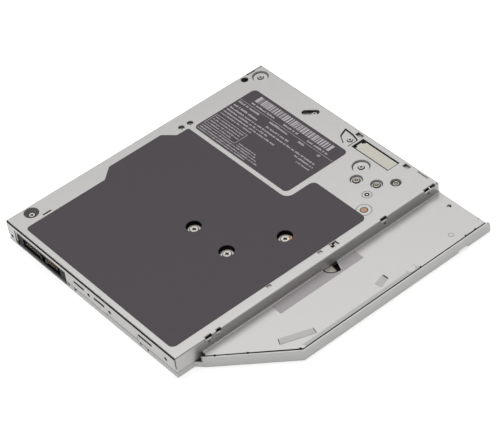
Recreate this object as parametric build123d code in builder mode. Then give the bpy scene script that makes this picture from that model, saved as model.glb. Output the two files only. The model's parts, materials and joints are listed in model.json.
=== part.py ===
from build123d import *
from math import atan2, cos, degrees, hypot, pi, radians, sin
import os

os.makedirs("parts", exist_ok=True)

# Slim slot-loading disc drive, lying on its top cover with its service side up.
# Widths run along X, depths along Y towards the disc slot, heights along Z.
# Places are measured from the rear left corner of the case and moved by at().
# The origin is the middle of the case at the top cover's outer face.

# Case
overall_width = 128.0
body_width = 102.6
body_depth = 127.2
lip_reach = 1.6
height = 9.5
wing_top = 4.86
sheet = 0.6
cover_sheet = 0.5
lip_height = 2.35
seam = 0.15
bend = 0.7
foot_bend = 0.8
slot_left = 3.3
slot_top = 4.3
wing_rear = 11.65
wing_corner_x = body_width + 2.6
wing_corner_y = 10.3
wing_side_y = 37.0
nose_radius = 1.5

left = -overall_width / 2
rear = -(body_depth + lip_reach) / 2
MIN3 = (Align.MIN, Align.MIN, Align.MIN)


def at(x, y):
    """Plan place measured from the rear left corner of the case."""
    return (left + x, rear + y)


def block(x, y, z, mode=Mode.ADD):
    """Box between two places on each axis, in the part that is being built."""
    with Locations((*at(x[0], y[0]), z[0])):
        Box(x[1] - x[0], y[1] - y[0], z[1] - z[0], align=MIN3, mode=mode)


def cut(x, y, z):
    """The same box taken out of the part that is being built."""
    block(x, y, z, mode=Mode.SUBTRACT)


def disc(place, radius, low, high, mode=Mode.ADD):
    """Upright cylinder between two heights."""
    with Locations((*at(*place), low)):
        Cylinder(radius, high - low, align=(Align.CENTER, Align.CENTER, Align.MIN), mode=mode)


def drill(place, radius, low, high):
    """Upright round hole between two heights."""
    disc(place, radius, low, high, mode=Mode.SUBTRACT)


def finish(piece, name):
    """Label a finished piece and write it to its own file."""
    piece.label = name
    export_step(piece, f"parts/{name}.step")


# Heights of the layers
plate_inner = height - sheet
wing_under = wing_top - sheet
floor_top = cover_sheet
wall_low = lip_height + seam
wing_reach = overall_width - cover_sheet - seam

# Disc in its playing place, between the cover and the pickup
disc_top = 2.9

# Spindle, and the pickup's direction of travel seen from above
spindle = (64.1, 64.4)
travel_angle = 125.35
skew_circle = 19.3
skew_angles = (240.5, 299.8, 10.2)
skew_window_r = 3.15
skew_screws = [
    (spindle[0] + skew_circle * cos(radians(a)), spindle[1] + skew_circle * sin(radians(a)))
    for a in skew_angles
]

# Pressed dimples of the underside
dimple_floor = 0.5
dimple_draft = 0.3
dimple_depth = 0.75
rear_dimple = (3.95, 9.2)
rear_dimple_r = 3.05
rear_dimple_floor_r = 1.4
rear_dimple_depth = 1.5
front_dimple = (5.65, body_depth - 5.15)
front_dimple_r = 3.45
big_dimple = (74.9, 113.3)
big_dimple_r = 3.7
pair_screws = ((6.95, 80.1), (7.34, 84.2))
pair_window_r = 1.3
corner_hole = (2.66, 116.24)
corner_hole_r = 1.55

# Posts of the loading gears and levers
link_post = (79.1, 107.0)
idler_post = (86.6, 110.5)
wheel_post = (91.2, 116.05)
pinion_post = (88.3, 104.0)
lever_post = (93.7, 97.5)
link_dimple_r = 2.6
idler_dimple_r = 2.5
wheel_dimple_r = 2.2
rivet_shank_r = 0.7
lever_shank_r = 1.3

# Windows and slots of the underside
window_x = (63.8, 84.2)
window_y = (body_depth - 8.8, body_depth - 2.6)
pin_slot = (37.1, 121.1)
pin_slot_length = 7.2
pin_slot_width = 2.9
corner_slot = (8.2, 13.5)
corner_slot_size = (4.0, 0.75)
front_slit = (95.5, body_depth - 1.3)
front_slit_size = (5.6, 0.45)
recess_depth = 0.45
recess_points = ((54.4, 123.9), (56.0, 119.8), (60.0, 117.6), (62.8, 117.5), (62.8, 122.6), (59.0, 123.6))
recess_screw = (60.35, 120.8)
clip_y = (body_depth - 3.1, body_depth - 1.2)
clip_windows = (((59.6, 63.0), clip_y), ((86.0, 89.1), clip_y))
clip_tab_drop = 0.5
edge_slots = ((14.0, 17.0), (19.0, 21.2), (98.0, 101.0), (120.0, 125.4))
edge_slot_wide = 1.1
latch_windows = ((98.15, 100.5, 75.7, 79.2), (98.2, 99.5, 70.2, 72.0), (98.1, 99.4, 45.7, 47.6))
step_holes = (15.3, 99.6, 121.9)
step_hole_z = 7.2
step_hole_size = 0.9
cup_hole = (
    (body_width + 0.1, 68.4),
    (body_width + 3.6, 69.9),
    (body_width + 4.8, 73.45),
    (body_width + 0.1, 75.3),
)
wing_slits = (((118.6, 33.9), 2.9, -26), ((123.3, 46.2), 2.8, -15), ((121.6, 82.1), 2.7, 0))
wing_slit_wide = 0.6
wing_hole = (111.2, 124.1)
wing_hole_r = 0.9
wing_pad = (124.9, 91.3)
wing_pad_r = 2.0
wing_pad_rise = 0.12
wing_notches = ((87.2, 94.3), (117.2, 122.0))
wing_notch_deep = 0.45

# Rear face
port_x = (6.0, 37.0)
port_z = (0.8, 7.0)
rear_slots = ((42.5, 48.5), (54.8, 60.7), (80.9, 88.6))
rear_slot_z = 5.6
rear_slot_high = 0.7
mount_holes = (51.3, 64.0)
side_hole = 96.5
mount_hole_z = 5.25
mount_hole_r = 0.8
collar_wall = 0.4
collar_length = 0.6
rear_groove_z = 8.65
rear_groove_high = 0.18
rear_groove_deep = 0.3


def dimple(place, radius, depth, floor_radius, bore):
    """Pressed cup in the underside plate, its floor pierced for a screw or a post."""
    drill(place, radius, plate_inner, height)
    upright = Plane((*at(*place), height), x_dir=(1, 0, 0), z_dir=(0, -1, 0))
    with BuildSketch(upright, mode=Mode.PRIVATE) as cup:
        with BuildLine():
            Polyline(
                (bore, -depth),
                (floor_radius, -depth),
                (radius, 0),
                (radius + dimple_floor, 0),
                (radius + dimple_floor, -sheet),
                (floor_radius + dimple_floor, -depth - dimple_floor),
                (bore, -depth - dimple_floor),
                close=True,
            )
        make_face()
    revolve(cup.sketch, axis=Axis((*at(*place), 0), (0, 0, 1)))


lip_gap = cover_sheet + seam


def case_outline(inset, reach=0.0):
    """Plan outline of the thick body stood in from its walls, with the wing if it has a reach."""
    body_right = body_width - inset
    with BuildSketch(mode=Mode.PRIVATE) as outline:
        with Locations(at(inset, inset)):
            Rectangle(
                body_right - inset, body_depth - 2 * inset, align=(Align.MIN, Align.MIN)
            )
        if reach:
            with BuildLine():
                Polyline(
                    at(body_right, wing_rear),
                    at(wing_corner_x - sheet, wing_rear),
                    at(wing_corner_x, wing_corner_y + lip_gap),
                    at(reach, wing_side_y + lip_gap),
                    at(reach, body_depth - inset),
                    at(body_right, body_depth - inset),
                    close=True,
                )
            make_face()
    return outline.sketch


near = 0.01


def step_foot(form, wall_x, wing_z):
    """Edge along the foot of the step between the thick body and the wing."""
    return (
        form.edges()
        .filter_by(Axis.Y)
        .filter_by_position(Axis.X, left + wall_x - near, left + wall_x + near)
        .filter_by_position(Axis.Z, wing_z - near, wing_z + near)
    )


# Space that the pressed sheet encloses, with the radii of the inside of its bends
with BuildPart() as case_space:
    with BuildSketch(Plane.XY.offset(floor_top)):
        add(case_outline(sheet))
    extrude(amount=plate_inner - floor_top)
    with BuildSketch(Plane.XY.offset(floor_top)):
        add(case_outline(sheet, overall_width))
    extrude(amount=wing_under - floor_top)
    fillet(step_foot(case_space, body_width - sheet, wing_under), foot_bend + sheet)
    fillet(case_space.faces().sort_by(Axis.Z)[-1].edges(), bend - sheet)


# Underside chassis: one pressed sheet with its walls, the step and the wing plate
with BuildPart() as base_chassis:
    with BuildSketch(Plane.XY.offset(wall_low)):
        add(case_outline(0))
    extrude(amount=height - wall_low)
    with BuildSketch(Plane.XY.offset(wall_low)):
        add(case_outline(0, wing_reach))
    extrude(amount=wing_top - wall_low)
    fillet(step_foot(base_chassis, body_width, wing_top), foot_bend)
    fillet(base_chassis.faces().sort_by(Axis.Z)[-1].edges(), bend)
    add(case_space.part, mode=Mode.SUBTRACT)
    block((lip_gap, port_x[0] - sheet), (0, sheet), (floor_top, wall_low))

    # Disc slot, connector port, and the slots and holes of the rear wall
    through_rear = (-sheet, sheet * 3)
    cut((slot_left, overall_width), (body_depth - sheet * 2, body_depth + sheet), (0, slot_top))
    cut(port_x, through_rear, (0, port_z[1]))
    for low, high in rear_slots:
        cut((low, high), through_rear, (rear_slot_z, rear_slot_z + rear_slot_high))
    cut((0, body_width), (-sheet, rear_groove_deep), (rear_groove_z, rear_groove_z + rear_groove_high))
    cut((body_width - sheet - seam, body_width - sheet), through_rear, (slot_top, rear_groove_z))
    rear_wall = Plane((left, rear, mount_hole_z), x_dir=(1, 0, 0), z_dir=(0, -1, 0))
    rear_holes = [(x, 0) for x in (*mount_holes, side_hole)]
    with BuildSketch(rear_wall.offset(-sheet)):
        with Locations(*rear_holes):
            Circle(mount_hole_r + collar_wall)
    extrude(amount=-collar_length)
    with BuildSketch(rear_wall):
        with Locations(*rear_holes):
            Circle(mount_hole_r)
    extrude(amount=-sheet - collar_length, mode=Mode.SUBTRACT)

    # Dimples that carry screws and posts
    dimple(rear_dimple, rear_dimple_r, rear_dimple_depth, rear_dimple_floor_r, rivet_shank_r)
    dimple(front_dimple, front_dimple_r, dimple_depth, front_dimple_r - dimple_draft, rivet_shank_r)
    dimple(big_dimple, big_dimple_r, dimple_depth, big_dimple_r - dimple_draft, rivet_shank_r)
    for post, radius in (
        (link_post, link_dimple_r),
        (idler_post, idler_dimple_r),
        (wheel_post, wheel_dimple_r),
    ):
        dimple(post, radius, dimple_depth, radius - dimple_draft, rivet_shank_r)
    drill(pinion_post, rivet_shank_r, plate_inner, height)
    drill(lever_post, lever_shank_r, plate_inner, height)

    # Windows over the skew screws, the paired screws and the locating hole
    for place in skew_screws:
        drill(place, skew_window_r, plate_inner, height)
    for place in pair_screws:
        drill(place, pair_window_r, plate_inner, height)
    drill(corner_hole, corner_hole_r, plate_inner, height)

    # Pin slot, recess, clip windows and the motor window
    with BuildSketch(Plane.XY.offset(height)):
        with Locations(at(*pin_slot)):
            SlotOverall(pin_slot_length, pin_slot_width, rotation=45)
        with Locations(at(*corner_slot)):
            SlotOverall(*corner_slot_size, rotation=90)
        for x, y in (*clip_windows, (window_x, window_y)):
            with Locations(at(x[0], y[0])):
                Rectangle(x[1] - x[0], y[1] - y[0], align=(Align.MIN, Align.MIN))
        for x_low, x_high, y_low, y_high in latch_windows:
            with Locations(at(x_low, y_low)):
                Rectangle(x_high - x_low, y_high - y_low, align=(Align.MIN, Align.MIN))
        with Locations(at(*front_slit)):
            Rectangle(*front_slit_size)
    extrude(amount=-sheet, mode=Mode.SUBTRACT)
    with BuildSketch(Plane.XY.offset(plate_inner)):
        with BuildLine():
            Polyline(*[at(*point) for point in recess_points], close=True)
        make_face()
        offset(amount=dimple_floor, kind=Kind.INTERSECTION)
    extrude(amount=-recess_depth)
    with BuildSketch(Plane.XY.offset(height)):
        with BuildLine():
            Polyline(*[at(*point) for point in recess_points], close=True)
        make_face()
    extrude(amount=-recess_depth, mode=Mode.SUBTRACT)
    drill(recess_screw, rivet_shank_r, plate_inner - recess_depth, height)
    for x, y in clip_windows:
        middle = (y[0] + y[1]) / 2
        block(
            (x[0] + seam, x[1] - seam),
            (middle, body_depth - sheet),
            (plate_inner - clip_tab_drop - sheet, plate_inner - clip_tab_drop),
        )

    # Slots at the top of the step and the small holes of its wall
    for y in edge_slots:
        cut((body_width - edge_slot_wide, body_width), y, (plate_inner - sheet, height))
    for y in step_holes:
        cut(
            (body_width - sheet * 2, body_width + sheet),
            (y - step_hole_size / 2, y + step_hole_size / 2),
            (step_hole_z - step_hole_size / 2, step_hole_z + step_hole_size / 2),
        )

    # Wing plate: cup hole at the foot of the step, locating hole, pad and edge notches
    with BuildSketch(Plane.XY.offset(wing_top + foot_bend)):
        with BuildLine():
            ThreePointArc(at(*cup_hole[0]), at(*cup_hole[1]), at(*cup_hole[2]))
            Polyline(at(*cup_hole[2]), at(*cup_hole[3]), at(*cup_hole[0]))
        make_face()
    extrude(amount=-sheet - foot_bend, mode=Mode.SUBTRACT)
    with BuildSketch(Plane.XY.offset(wing_top)):
        for place, length, turn in wing_slits:
            with Locations(at(*place)):
                Rectangle(length, wing_slit_wide, rotation=turn)
    extrude(amount=-sheet, mode=Mode.SUBTRACT)
    drill(wing_hole, wing_hole_r, wing_under, wing_top)
    disc(wing_pad, wing_pad_r, wing_top, wing_top + wing_pad_rise)
    for y in wing_notches:
        cut((wing_reach - wing_notch_deep, wing_reach), y, (wing_under, wing_top))
finish(base_chassis.part, "base_chassis")


def cover_outline():
    """Plan outline of the top cover, out to the lips that wrap the case."""
    with BuildSketch(mode=Mode.PRIVATE) as outline:
        with BuildLine():
            Polyline(
                at(0, 0),
                at(body_width, 0),
                at(body_width, wing_corner_y - (wing_corner_x - body_width)),
                at(wing_corner_x + cover_sheet, wing_corner_y),
                at(overall_width, wing_side_y),
                at(overall_width, body_depth),
                at(0, body_depth),
                close=True,
            )
        make_face()
    return outline.sketch


# Top cover: flat sheet with lips on three sides and the tall outer lip of the wing
rear_lip_notches = ((37.8, 38.8), (41.8, 42.9), (81.2, 82.0), (85.4, 86.3))
side_lip_notch = (112.5, 117.2)
side_lip_notch_high = 0.9
with BuildPart() as top_cover:
    with BuildSketch():
        add(cover_outline())
    extrude(amount=cover_sheet)
    with BuildSketch():
        add(cover_outline())
        offset(amount=-cover_sheet, kind=Kind.INTERSECTION, mode=Mode.SUBTRACT)
    extrude(amount=lip_height)
    with BuildSketch():
        add(cover_outline())
        offset(amount=-cover_sheet, kind=Kind.INTERSECTION, mode=Mode.SUBTRACT)
        with Locations(at(body_width + sheet, wing_corner_y - sheet)):
            Rectangle(overall_width, body_depth, align=(Align.MIN, Align.MIN), mode=Mode.INTERSECT)
    extrude(amount=wing_top)
    # Nose of the outer lip, the disc slot and the rear lip's gap for the connector
    outer_lip = Plane((left + overall_width, rear, 0), x_dir=(0, 1, 0), z_dir=(1, 0, 0))
    with BuildSketch(outer_lip):
        with Locations((body_depth - lip_reach * 2, 0)):
            Rectangle(lip_reach * 3, wing_top, align=(Align.MIN, Align.MIN))
        fillet(vertices().sort_by(Axis.Y)[-2:], nose_radius)
    extrude(amount=-cover_sheet)
    cut(
        (slot_left, overall_width - cover_sheet),
        (body_depth - cover_sheet, body_depth + lip_reach),
        (cover_sheet, height),
    )
    cut((0, port_x[1] + seam), (0, cover_sheet), (cover_sheet, height))
    for x in rear_lip_notches:
        cut(x, (0, cover_sheet), (lip_height / 2, lip_height))
    cut((overall_width - nose_radius, overall_width), side_lip_notch, (0, side_lip_notch_high))
finish(top_cover.part, "top_cover")


# Film and label stuck to the underside
film_thick = 0.1
film_corner = 2.5
film_hole_gap = 0.05
film_points = (
    (9.55, 2.53),
    (9.55, 40.1),
    (4.7, 45.9),
    (4.7, 71.6),
    (9.4, 75.9),
    (9.4, 81.7),
    (68.2, 81.7),
    (68.2, 95.2),
    (97.85, 95.2),
    (97.85, 2.53),
)
label_x = (10.3, 65.4)
label_y = (83.7, 115.3)

with BuildPart() as insulating_film:
    with BuildSketch(Plane.XY.offset(height)):
        with BuildLine():
            Polyline(*[at(*point) for point in film_points], close=True)
        make_face()
        film_corners = vertices().filter_by_position(Axis.X, left + label_x[0], left + body_width)
        fillet([*film_corners, vertices().group_by(Axis.X)[1].sort_by(Axis.Y)[0]], film_corner)
        for place in skew_screws:
            with Locations(at(*place)):
                Circle(skew_window_r + film_hole_gap, mode=Mode.SUBTRACT)
        for x_low, x_high, y_low, y_high in latch_windows:
            with Locations(at(x_low - film_hole_gap * 4, y_low)):
                Rectangle(
                    x_high - x_low,
                    y_high - y_low,
                    align=(Align.MIN, Align.MIN),
                    mode=Mode.SUBTRACT,
                )
    extrude(amount=film_thick)
finish(insulating_film.part, "insulating_film")

with BuildPart() as rating_label:
    with BuildSketch(Plane.XY.offset(height)):
        with Locations(at(label_x[0], label_y[0])):
            RectangleRounded(
                label_x[1] - label_x[0],
                label_y[1] - label_y[0],
                film_corner,
                align=(Align.MIN, Align.MIN),
            )
    extrude(amount=film_thick)
finish(rating_label.part, "rating_label")


# Circuit board along the rear, its shield, spacers, screws and chips
board_x = (1.5, 97.5)
board_y = (1.4, 40.4)
connector_y = (0.5, 8.5)
part_gap = 1.0
board_low = 5.4
board_thick = 0.8
board_top = board_low + board_thick
shield_thick = 0.1
spacer_r = 1.6
spacer_places = ((7.5, 36.5), (93.5, 36.5), (93.5, 6.0), (45.0, 36.5))
board_screw_r = 0.6
board_screw_head_r = 1.3
board_screw_head = 0.45
rear_floor_z = height - rear_dimple_depth
rear_boss_top = rear_floor_z - dimple_floor
eject_post = (22.0, 17.0)
eject_post_r = 1.0
running = 0.05

with BuildPart() as main_board:
    block(board_x, board_y, (board_low, board_top))
    for place in spacer_places:
        drill(place, board_screw_r + running, board_low, board_top)
    drill(eject_post, eject_post_r + part_gap, board_low, board_top)
finish(main_board.part, "main_board")

with BuildPart() as board_shield:
    block(
        (board_x[0] + part_gap, board_x[1] - part_gap),
        (connector_y[1] + part_gap, board_y[1] - part_gap / 2),
        (board_low - shield_thick, board_low),
    )
    for place in (*spacer_places, eject_post):
        drill(place, board_screw_head_r + part_gap, board_low - shield_thick, board_low)
finish(board_shield.part, "board_shield")

with BuildPart() as board_spacers:
    for place in spacer_places:
        disc(place, spacer_r, board_top, plate_inner)
        drill(place, board_screw_r, board_top, plate_inner)
    disc(rear_dimple, spacer_r, board_top, rear_boss_top)
    drill(rear_dimple, board_screw_r, board_top, rear_boss_top)
finish(board_spacers.part, "board_spacers")

with BuildPart() as board_screws:
    for place in spacer_places:
        disc(place, board_screw_head_r, board_low - board_screw_head, board_low)
        disc(place, board_screw_r, board_low, plate_inner - sheet)
finish(board_screws.part, "board_screws")

socket_x = (48.0, 59.0)
socket_y = (board_y[1] - 4.5, board_y[1] - 0.5)
socket_high = 1.2
cable_thick = 0.1
cable_end = socket_y[0] + 2.0
cable_low = board_top + 0.55
cable_turn_y = board_y[1] + 0.7
cable_end_y = 43.6

chips = (
    ((52.0, 64.0), (14.0, 26.0), 1.2),
    ((70.0, 79.0), (16.0, 25.0), 1.0),
    ((34.0, 42.0), (20.0, 26.0), 1.1),
    ((82.0, 90.0), (12.0, 18.0), 1.1),
)
socket_mouth = 0.2
with BuildPart() as board_parts:
    for x, y, thick in chips:
        block(x, y, (board_top, board_top + thick))
    block(socket_x, socket_y, (board_top, board_top + socket_high))
    cut(
        (socket_x[0] + part_gap, socket_x[1] - part_gap),
        (cable_end - part_gap / 2, board_y[1]),
        (cable_low - socket_mouth, cable_low + cable_thick + socket_mouth),
    )
finish(board_parts.part, "board_parts")

# Flat cable of the pickup: out of its socket, up and along the plate
with BuildPart() as ribbon_cable:
    cable_x = (socket_x[0] + part_gap + socket_mouth, socket_x[1] - part_gap - socket_mouth)
    block(cable_x, (cable_end, cable_turn_y), (cable_low, cable_low + cable_thick))
    block(cable_x, (cable_turn_y - cable_thick, cable_turn_y), (cable_low, plate_inner))
    block(cable_x, (cable_turn_y - cable_thick, cable_end_y), (plate_inner - cable_thick, plate_inner))
finish(ribbon_cable.part, "ribbon_cable")


# Data and power connector: a black housing with two keyed tongues
port_clear = 0.25
connector_x = (port_x[0] + port_clear, port_x[1] - port_clear)
connector_z = (port_z[0] + 0.2, board_low)
socket_end = connector_y[0] + 5.0
socket_side = 1.4
socket_wall = 0.6
tongue_thick = 0.9
tongue_z = 3.3
power_tongue = (10.5, 21.1)
data_tongue = (23.2, 31.2)
key_wide = 1.1
key_drop = 1.0
contact_pitch = 1.27
contact_wide = 0.6
contact_rise = 0.12
power_contacts = 7
data_contacts = 6

with BuildPart() as sata_connector:
    block(connector_x, connector_y, connector_z)
    block(connector_x, (connector_y[0], board_y[0]), (connector_z[1], port_z[1] - port_clear))
    cut(
        (power_tongue[0] - socket_side, data_tongue[1] + socket_side),
        (0, socket_end),
        (connector_z[0] + socket_wall, connector_z[1] - socket_wall / 2),
    )
    for low, high in (power_tongue, data_tongue):
        block((low, high), (connector_y[0], socket_end), (tongue_z, tongue_z + tongue_thick))
    for low in (power_tongue[1] - key_wide, data_tongue[0]):
        block(
            (low, low + key_wide),
            (connector_y[0], socket_end),
            (tongue_z - key_drop, tongue_z),
        )
finish(sata_connector.part, "sata_connector")

with BuildPart() as sata_contacts:
    for tongue, count in ((power_tongue, power_contacts), (data_tongue, data_contacts)):
        middle = (tongue[0] + tongue[1]) / 2
        for step in range(count):
            x = middle + (step - (count - 1) / 2) * contact_pitch
            block(
                (x - contact_wide / 2, x + contact_wide / 2),
                (connector_y[0] + socket_wall, socket_end),
                (tongue_z + tongue_thick, tongue_z + tongue_thick + contact_rise),
            )
finish(sata_contacts.part, "sata_contacts")


# Carriage frame: u runs along the pickup's travel from the spindle, v across it
travel = radians(travel_angle)
carriage = Plane(origin=(*at(*spindle), 0), x_dir=(cos(travel), sin(travel), 0), z_dir=(0, 0, 1))


def bar(u, v, z, mode=Mode.ADD):
    """Box between two places on each axis of the carriage."""
    with Locations(carriage.location * Pos(u[0], v[0], z[0])):
        Box(u[1] - u[0], v[1] - v[0], z[1] - z[0], align=MIN3, mode=mode)


def rod(u, v, z, radius, mode=Mode.ADD):
    """Round bar along the pickup's travel."""
    with Locations(carriage.location * Pos((u[0] + u[1]) / 2, v, z)):
        Cylinder(radius, u[1] - u[0], rotation=(0, 90, 0), mode=mode)


def cross_rod(u, v, z, radius, mode=Mode.ADD):
    """Round bar across the pickup's travel."""
    with Locations(carriage.location * Pos(u, (v[0] + v[1]) / 2, z)):
        Cylinder(radius, v[1] - v[0], rotation=(90, 0, 0), mode=mode)


def carriage_outline(height_at, points, grow=0.0):
    """Polygon in the carriage's own directions, at a height."""
    with BuildSketch(carriage.offset(height_at), mode=Mode.PRIVATE) as outline:
        with BuildLine():
            Polyline(*points, close=True)
        make_face()
        if grow:
            offset(amount=grow, kind=Kind.INTERSECTION)
    return outline.sketch


# Traverse: the tilting frame that carries spindle and pickup
axis_z = 6.9
lift = 1.8
pivot_u = 52.0
pivot_pin_r = 1.0
pivot_pin_length = 3.3
frame_half = 22.0
frame_end = 63.0
chamfer_u = 8.0
chamfer_v = 10.0
rail_wide = 2.5
end_rail = 2.0
cross_rail = (11.0, 13.5)
rail_low = 5.4
rail_top = 8.2
tray_low = 6.1
tray_top = 7.0
rotor_r = 12.0
rotor_gap = 0.6
skew_thread_r = 0.7
main_rod_v = -12.0
main_rod_r = 1.0
side_rod_v = 17.0
side_rod_r = 0.75
screw_v = -16.5
journal_r = 0.6
journal_in = 4.0
journal_gap = 0.4
journal_end = frame_end - 4.4
rod_seat = 0.5
sled_motor_u = (2.5, 11.0)
sled_motor_r = 2.7
sled_motor_high = 3.4
motor_bay_gap = 0.2
lift_pin_y = 66.0
lift_pin_z = 7.3
lift_pin_cover = 0.3
lift_pin_seat = 5.0
lift_pin_boss = 2.0
lift_pin_r = 0.8
lift_pin_x = (87.0, 97.6)
frame_outer = (
    (cross_rail[0], -frame_half),
    (frame_end - chamfer_u, -frame_half),
    (frame_end, -frame_half + chamfer_v),
    (frame_end, frame_half),
    (cross_rail[0], frame_half),
)
tray_shoulder = 12.0
tray_nose = 24.0
tray_nose_half = (3.0, 6.0)
frame_tray = (
    (-tray_shoulder, frame_half),
    (-tray_nose, tray_nose_half[1]),
    (-tray_nose, -tray_nose_half[0]),
    (-tray_shoulder, -frame_half),
    (cross_rail[1], -frame_half),
    (cross_rail[1], frame_half),
)
window_outline = (
    (cross_rail[1], -frame_half + rail_wide),
    (frame_end - chamfer_u - end_rail / 2, -frame_half + rail_wide),
    (frame_end - end_rail, -frame_half + chamfer_v + end_rail * 0.4),
    (frame_end - end_rail, frame_half - rail_wide),
    (cross_rail[1], frame_half - rail_wide),
)

with BuildPart() as traverse_frame:
    extrude(carriage_outline(tray_low, frame_tray), amount=tray_top - tray_low)
    extrude(carriage_outline(rail_low, frame_outer), amount=rail_top - rail_low)
    extrude(
        carriage_outline(rail_low, window_outline),
        amount=rail_top - rail_low,
        mode=Mode.SUBTRACT,
    )
    block(
        (lift_pin_x[0], lift_pin_x[0] + lift_pin_seat),
        (lift_pin_y - lift_pin_boss, lift_pin_y + lift_pin_boss),
        (tray_low, lift_pin_z + lift_pin_r + lift_pin_cover),
    )
    with Locations((*at(lift_pin_x[0] + lift_pin_seat / 2, lift_pin_y), lift_pin_z)):
        Cylinder(lift_pin_r, lift_pin_seat, rotation=(0, 90, 0), mode=Mode.SUBTRACT)
    drill(spindle, rotor_r + rotor_gap, rail_low, rail_top)
    for place in skew_screws:
        drill(place, skew_thread_r, tray_low, tray_top)
    bar(
        (sled_motor_u[0] - motor_bay_gap, sled_motor_u[1]),
        (screw_v - sled_motor_r - motor_bay_gap, screw_v + sled_motor_r + motor_bay_gap),
        (rail_low, rail_top),
        mode=Mode.SUBTRACT,
    )
    rod((cross_rail[0] + rod_seat, frame_end - rod_seat), main_rod_v, axis_z, main_rod_r, Mode.SUBTRACT)
    rod((cross_rail[0] + rod_seat, frame_end - rod_seat), side_rod_v, axis_z, side_rod_r, Mode.SUBTRACT)
    rod((cross_rail[0] - 1, journal_end + journal_gap), screw_v, axis_z, journal_r + running, Mode.SUBTRACT)
    for side in (-1, 1):
        ends = sorted((side * (frame_half - pivot_pin_r), side * (frame_half + pivot_pin_length)))
        cross_rod(pivot_u, ends, axis_z, pivot_pin_r)
finish(traverse_frame.part, "traverse_frame")

with BuildPart() as lift_pin:
    with Locations((*at(lift_pin_x[0], lift_pin_y), lift_pin_z)):
        Cylinder(
            lift_pin_r,
            lift_pin_x[1] - lift_pin_x[0],
            rotation=(0, 90, 0),
            align=(Align.CENTER, Align.CENTER, Align.MIN),
        )
finish(lift_pin.part, "lift_pin")

with BuildPart() as guide_rods:
    rod((cross_rail[0] + rod_seat, frame_end - rod_seat), main_rod_v, axis_z, main_rod_r)
    rod((cross_rail[0] + rod_seat, frame_end - rod_seat), side_rod_v, axis_z, side_rod_r)
finish(guide_rods.part, "guide_rods")

with BuildPart() as sled_motor:
    rod(sled_motor_u, screw_v, axis_z, sled_motor_r)
    bar(
        (sled_motor_u[0] - 1, sled_motor_u[1] + 1),
        (screw_v - sled_motor_r, screw_v + sled_motor_r),
        (axis_z - sled_motor_high / 2, axis_z + sled_motor_high / 2),
        mode=Mode.INTERSECT,
    )
    rod((sled_motor_u[0] + journal_in, sled_motor_u[1]), screw_v, axis_z, journal_r + running, Mode.SUBTRACT)
finish(sled_motor.part, "sled_motor")


# Spindle motor on its plate, held by three screws that set its tilt
motor_plate_thick = 0.6
plate_ear_r = 3.6
motor_plate_r = 10.5
motor_plate_top = tray_top + motor_plate_thick
skew_flange_r = 2.6
skew_head_r = 1.7
skew_flange = 0.25
skew_head = 0.3
end_screw = (38.3, 122.0)
end_screw_r = 1.1
pad_face = disc_top + lift
shaft_r = 0.75
bearing_r = 3.2
rotor_wall = 0.7
rotor_web = 0.6
pad_thick = 0.25
stator_r = 9.9
stator_teeth = 9
tooth_wide = 2.2
magnet_in = 10.4
hub_r = 7.4
hub_nose_r = 6.4
hub_tip = disc_top + 0.1
claws = 3
claw_reach = 0.3
claw_wide = 2.4
claw_thick = 2.0
claw_slot = 4.0
pad_in = 8.8
rotor_low = pad_face + pad_thick
rotor_clear = 0.3
stator_thick = 0.8
stator_ring = 1.3
shaft_cap = 0.6

with BuildPart() as motor_plate:
    with BuildSketch(Plane.XY.offset(tray_top)):
        with Locations(at(*spindle)):
            Circle(motor_plate_r)
        with BuildLine():
            Polyline(*[at(*screw) for screw in skew_screws], close=True)
        make_face()
        with Locations(*[at(*place) for place in skew_screws]):
            Circle(plate_ear_r)
        with Locations(*[at(*place) for place in skew_screws]):
            Circle(skew_thread_r, mode=Mode.SUBTRACT)
    extrude(amount=motor_plate_thick)
finish(motor_plate.part, "motor_plate")

with BuildPart() as skew_screws_set:
    for place in skew_screws:
        disc(place, skew_flange_r, motor_plate_top, motor_plate_top + skew_flange)
        disc(place, skew_head_r, motor_plate_top, motor_plate_top + skew_flange + skew_head)
        disc(place, skew_thread_r, tray_low + rotor_clear, motor_plate_top)
    disc(end_screw, end_screw_r, rail_top, rail_top + skew_head)
finish(skew_screws_set.part, "traverse_screws")

motor_flex_points = ((-14.4, -17.8), (-11.7, -17.8), (-9.5, -4.0), (-13.0, -4.0))
with BuildPart() as motor_flex:
    extrude(carriage_outline(motor_plate_top, motor_flex_points), amount=shield_thick)
finish(motor_flex.part, "motor_flex")

with BuildPart() as spindle_bearing:
    disc(spindle, bearing_r, rotor_low + rotor_web + rotor_clear, tray_top)
    drill(spindle, shaft_r + running, rotor_low + rotor_web, tray_top)
finish(spindle_bearing.part, "spindle_bearing")

with BuildPart() as stator_core:
    with BuildSketch(Plane.XY.offset(tray_top - stator_thick - running * 2)):
        with Locations(at(*spindle)):
            Circle(stator_r)
            Circle(stator_r - stator_ring, mode=Mode.SUBTRACT)
            with PolarLocations((bearing_r + stator_r) / 2, stator_teeth):
                Rectangle(stator_r - bearing_r - stator_ring / 2, tooth_wide)
            Circle(bearing_r + stator_ring)
            Circle(bearing_r, mode=Mode.SUBTRACT)
            with PolarLocations(stator_r, stator_teeth, start_angle=180 / stator_teeth):
                Rectangle(stator_ring * 3, stator_thick, mode=Mode.SUBTRACT)
    extrude(amount=stator_thick)
finish(stator_core.part, "stator_core")

with BuildPart() as spindle_rotor:
    disc(spindle, rotor_r, rotor_low, tray_top - rotor_clear)
    drill(spindle, rotor_r - rotor_wall, rotor_low + rotor_web, tray_top)
    drill(spindle, shaft_r, rotor_low, tray_top)
finish(spindle_rotor.part, "spindle_rotor")

with BuildPart() as rotor_magnet:
    disc(spindle, rotor_r - rotor_wall, rotor_low + rotor_web, tray_top - rotor_clear - running)
    drill(spindle, magnet_in, rotor_low + rotor_web, tray_top)
finish(rotor_magnet.part, "rotor_magnet")

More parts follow.
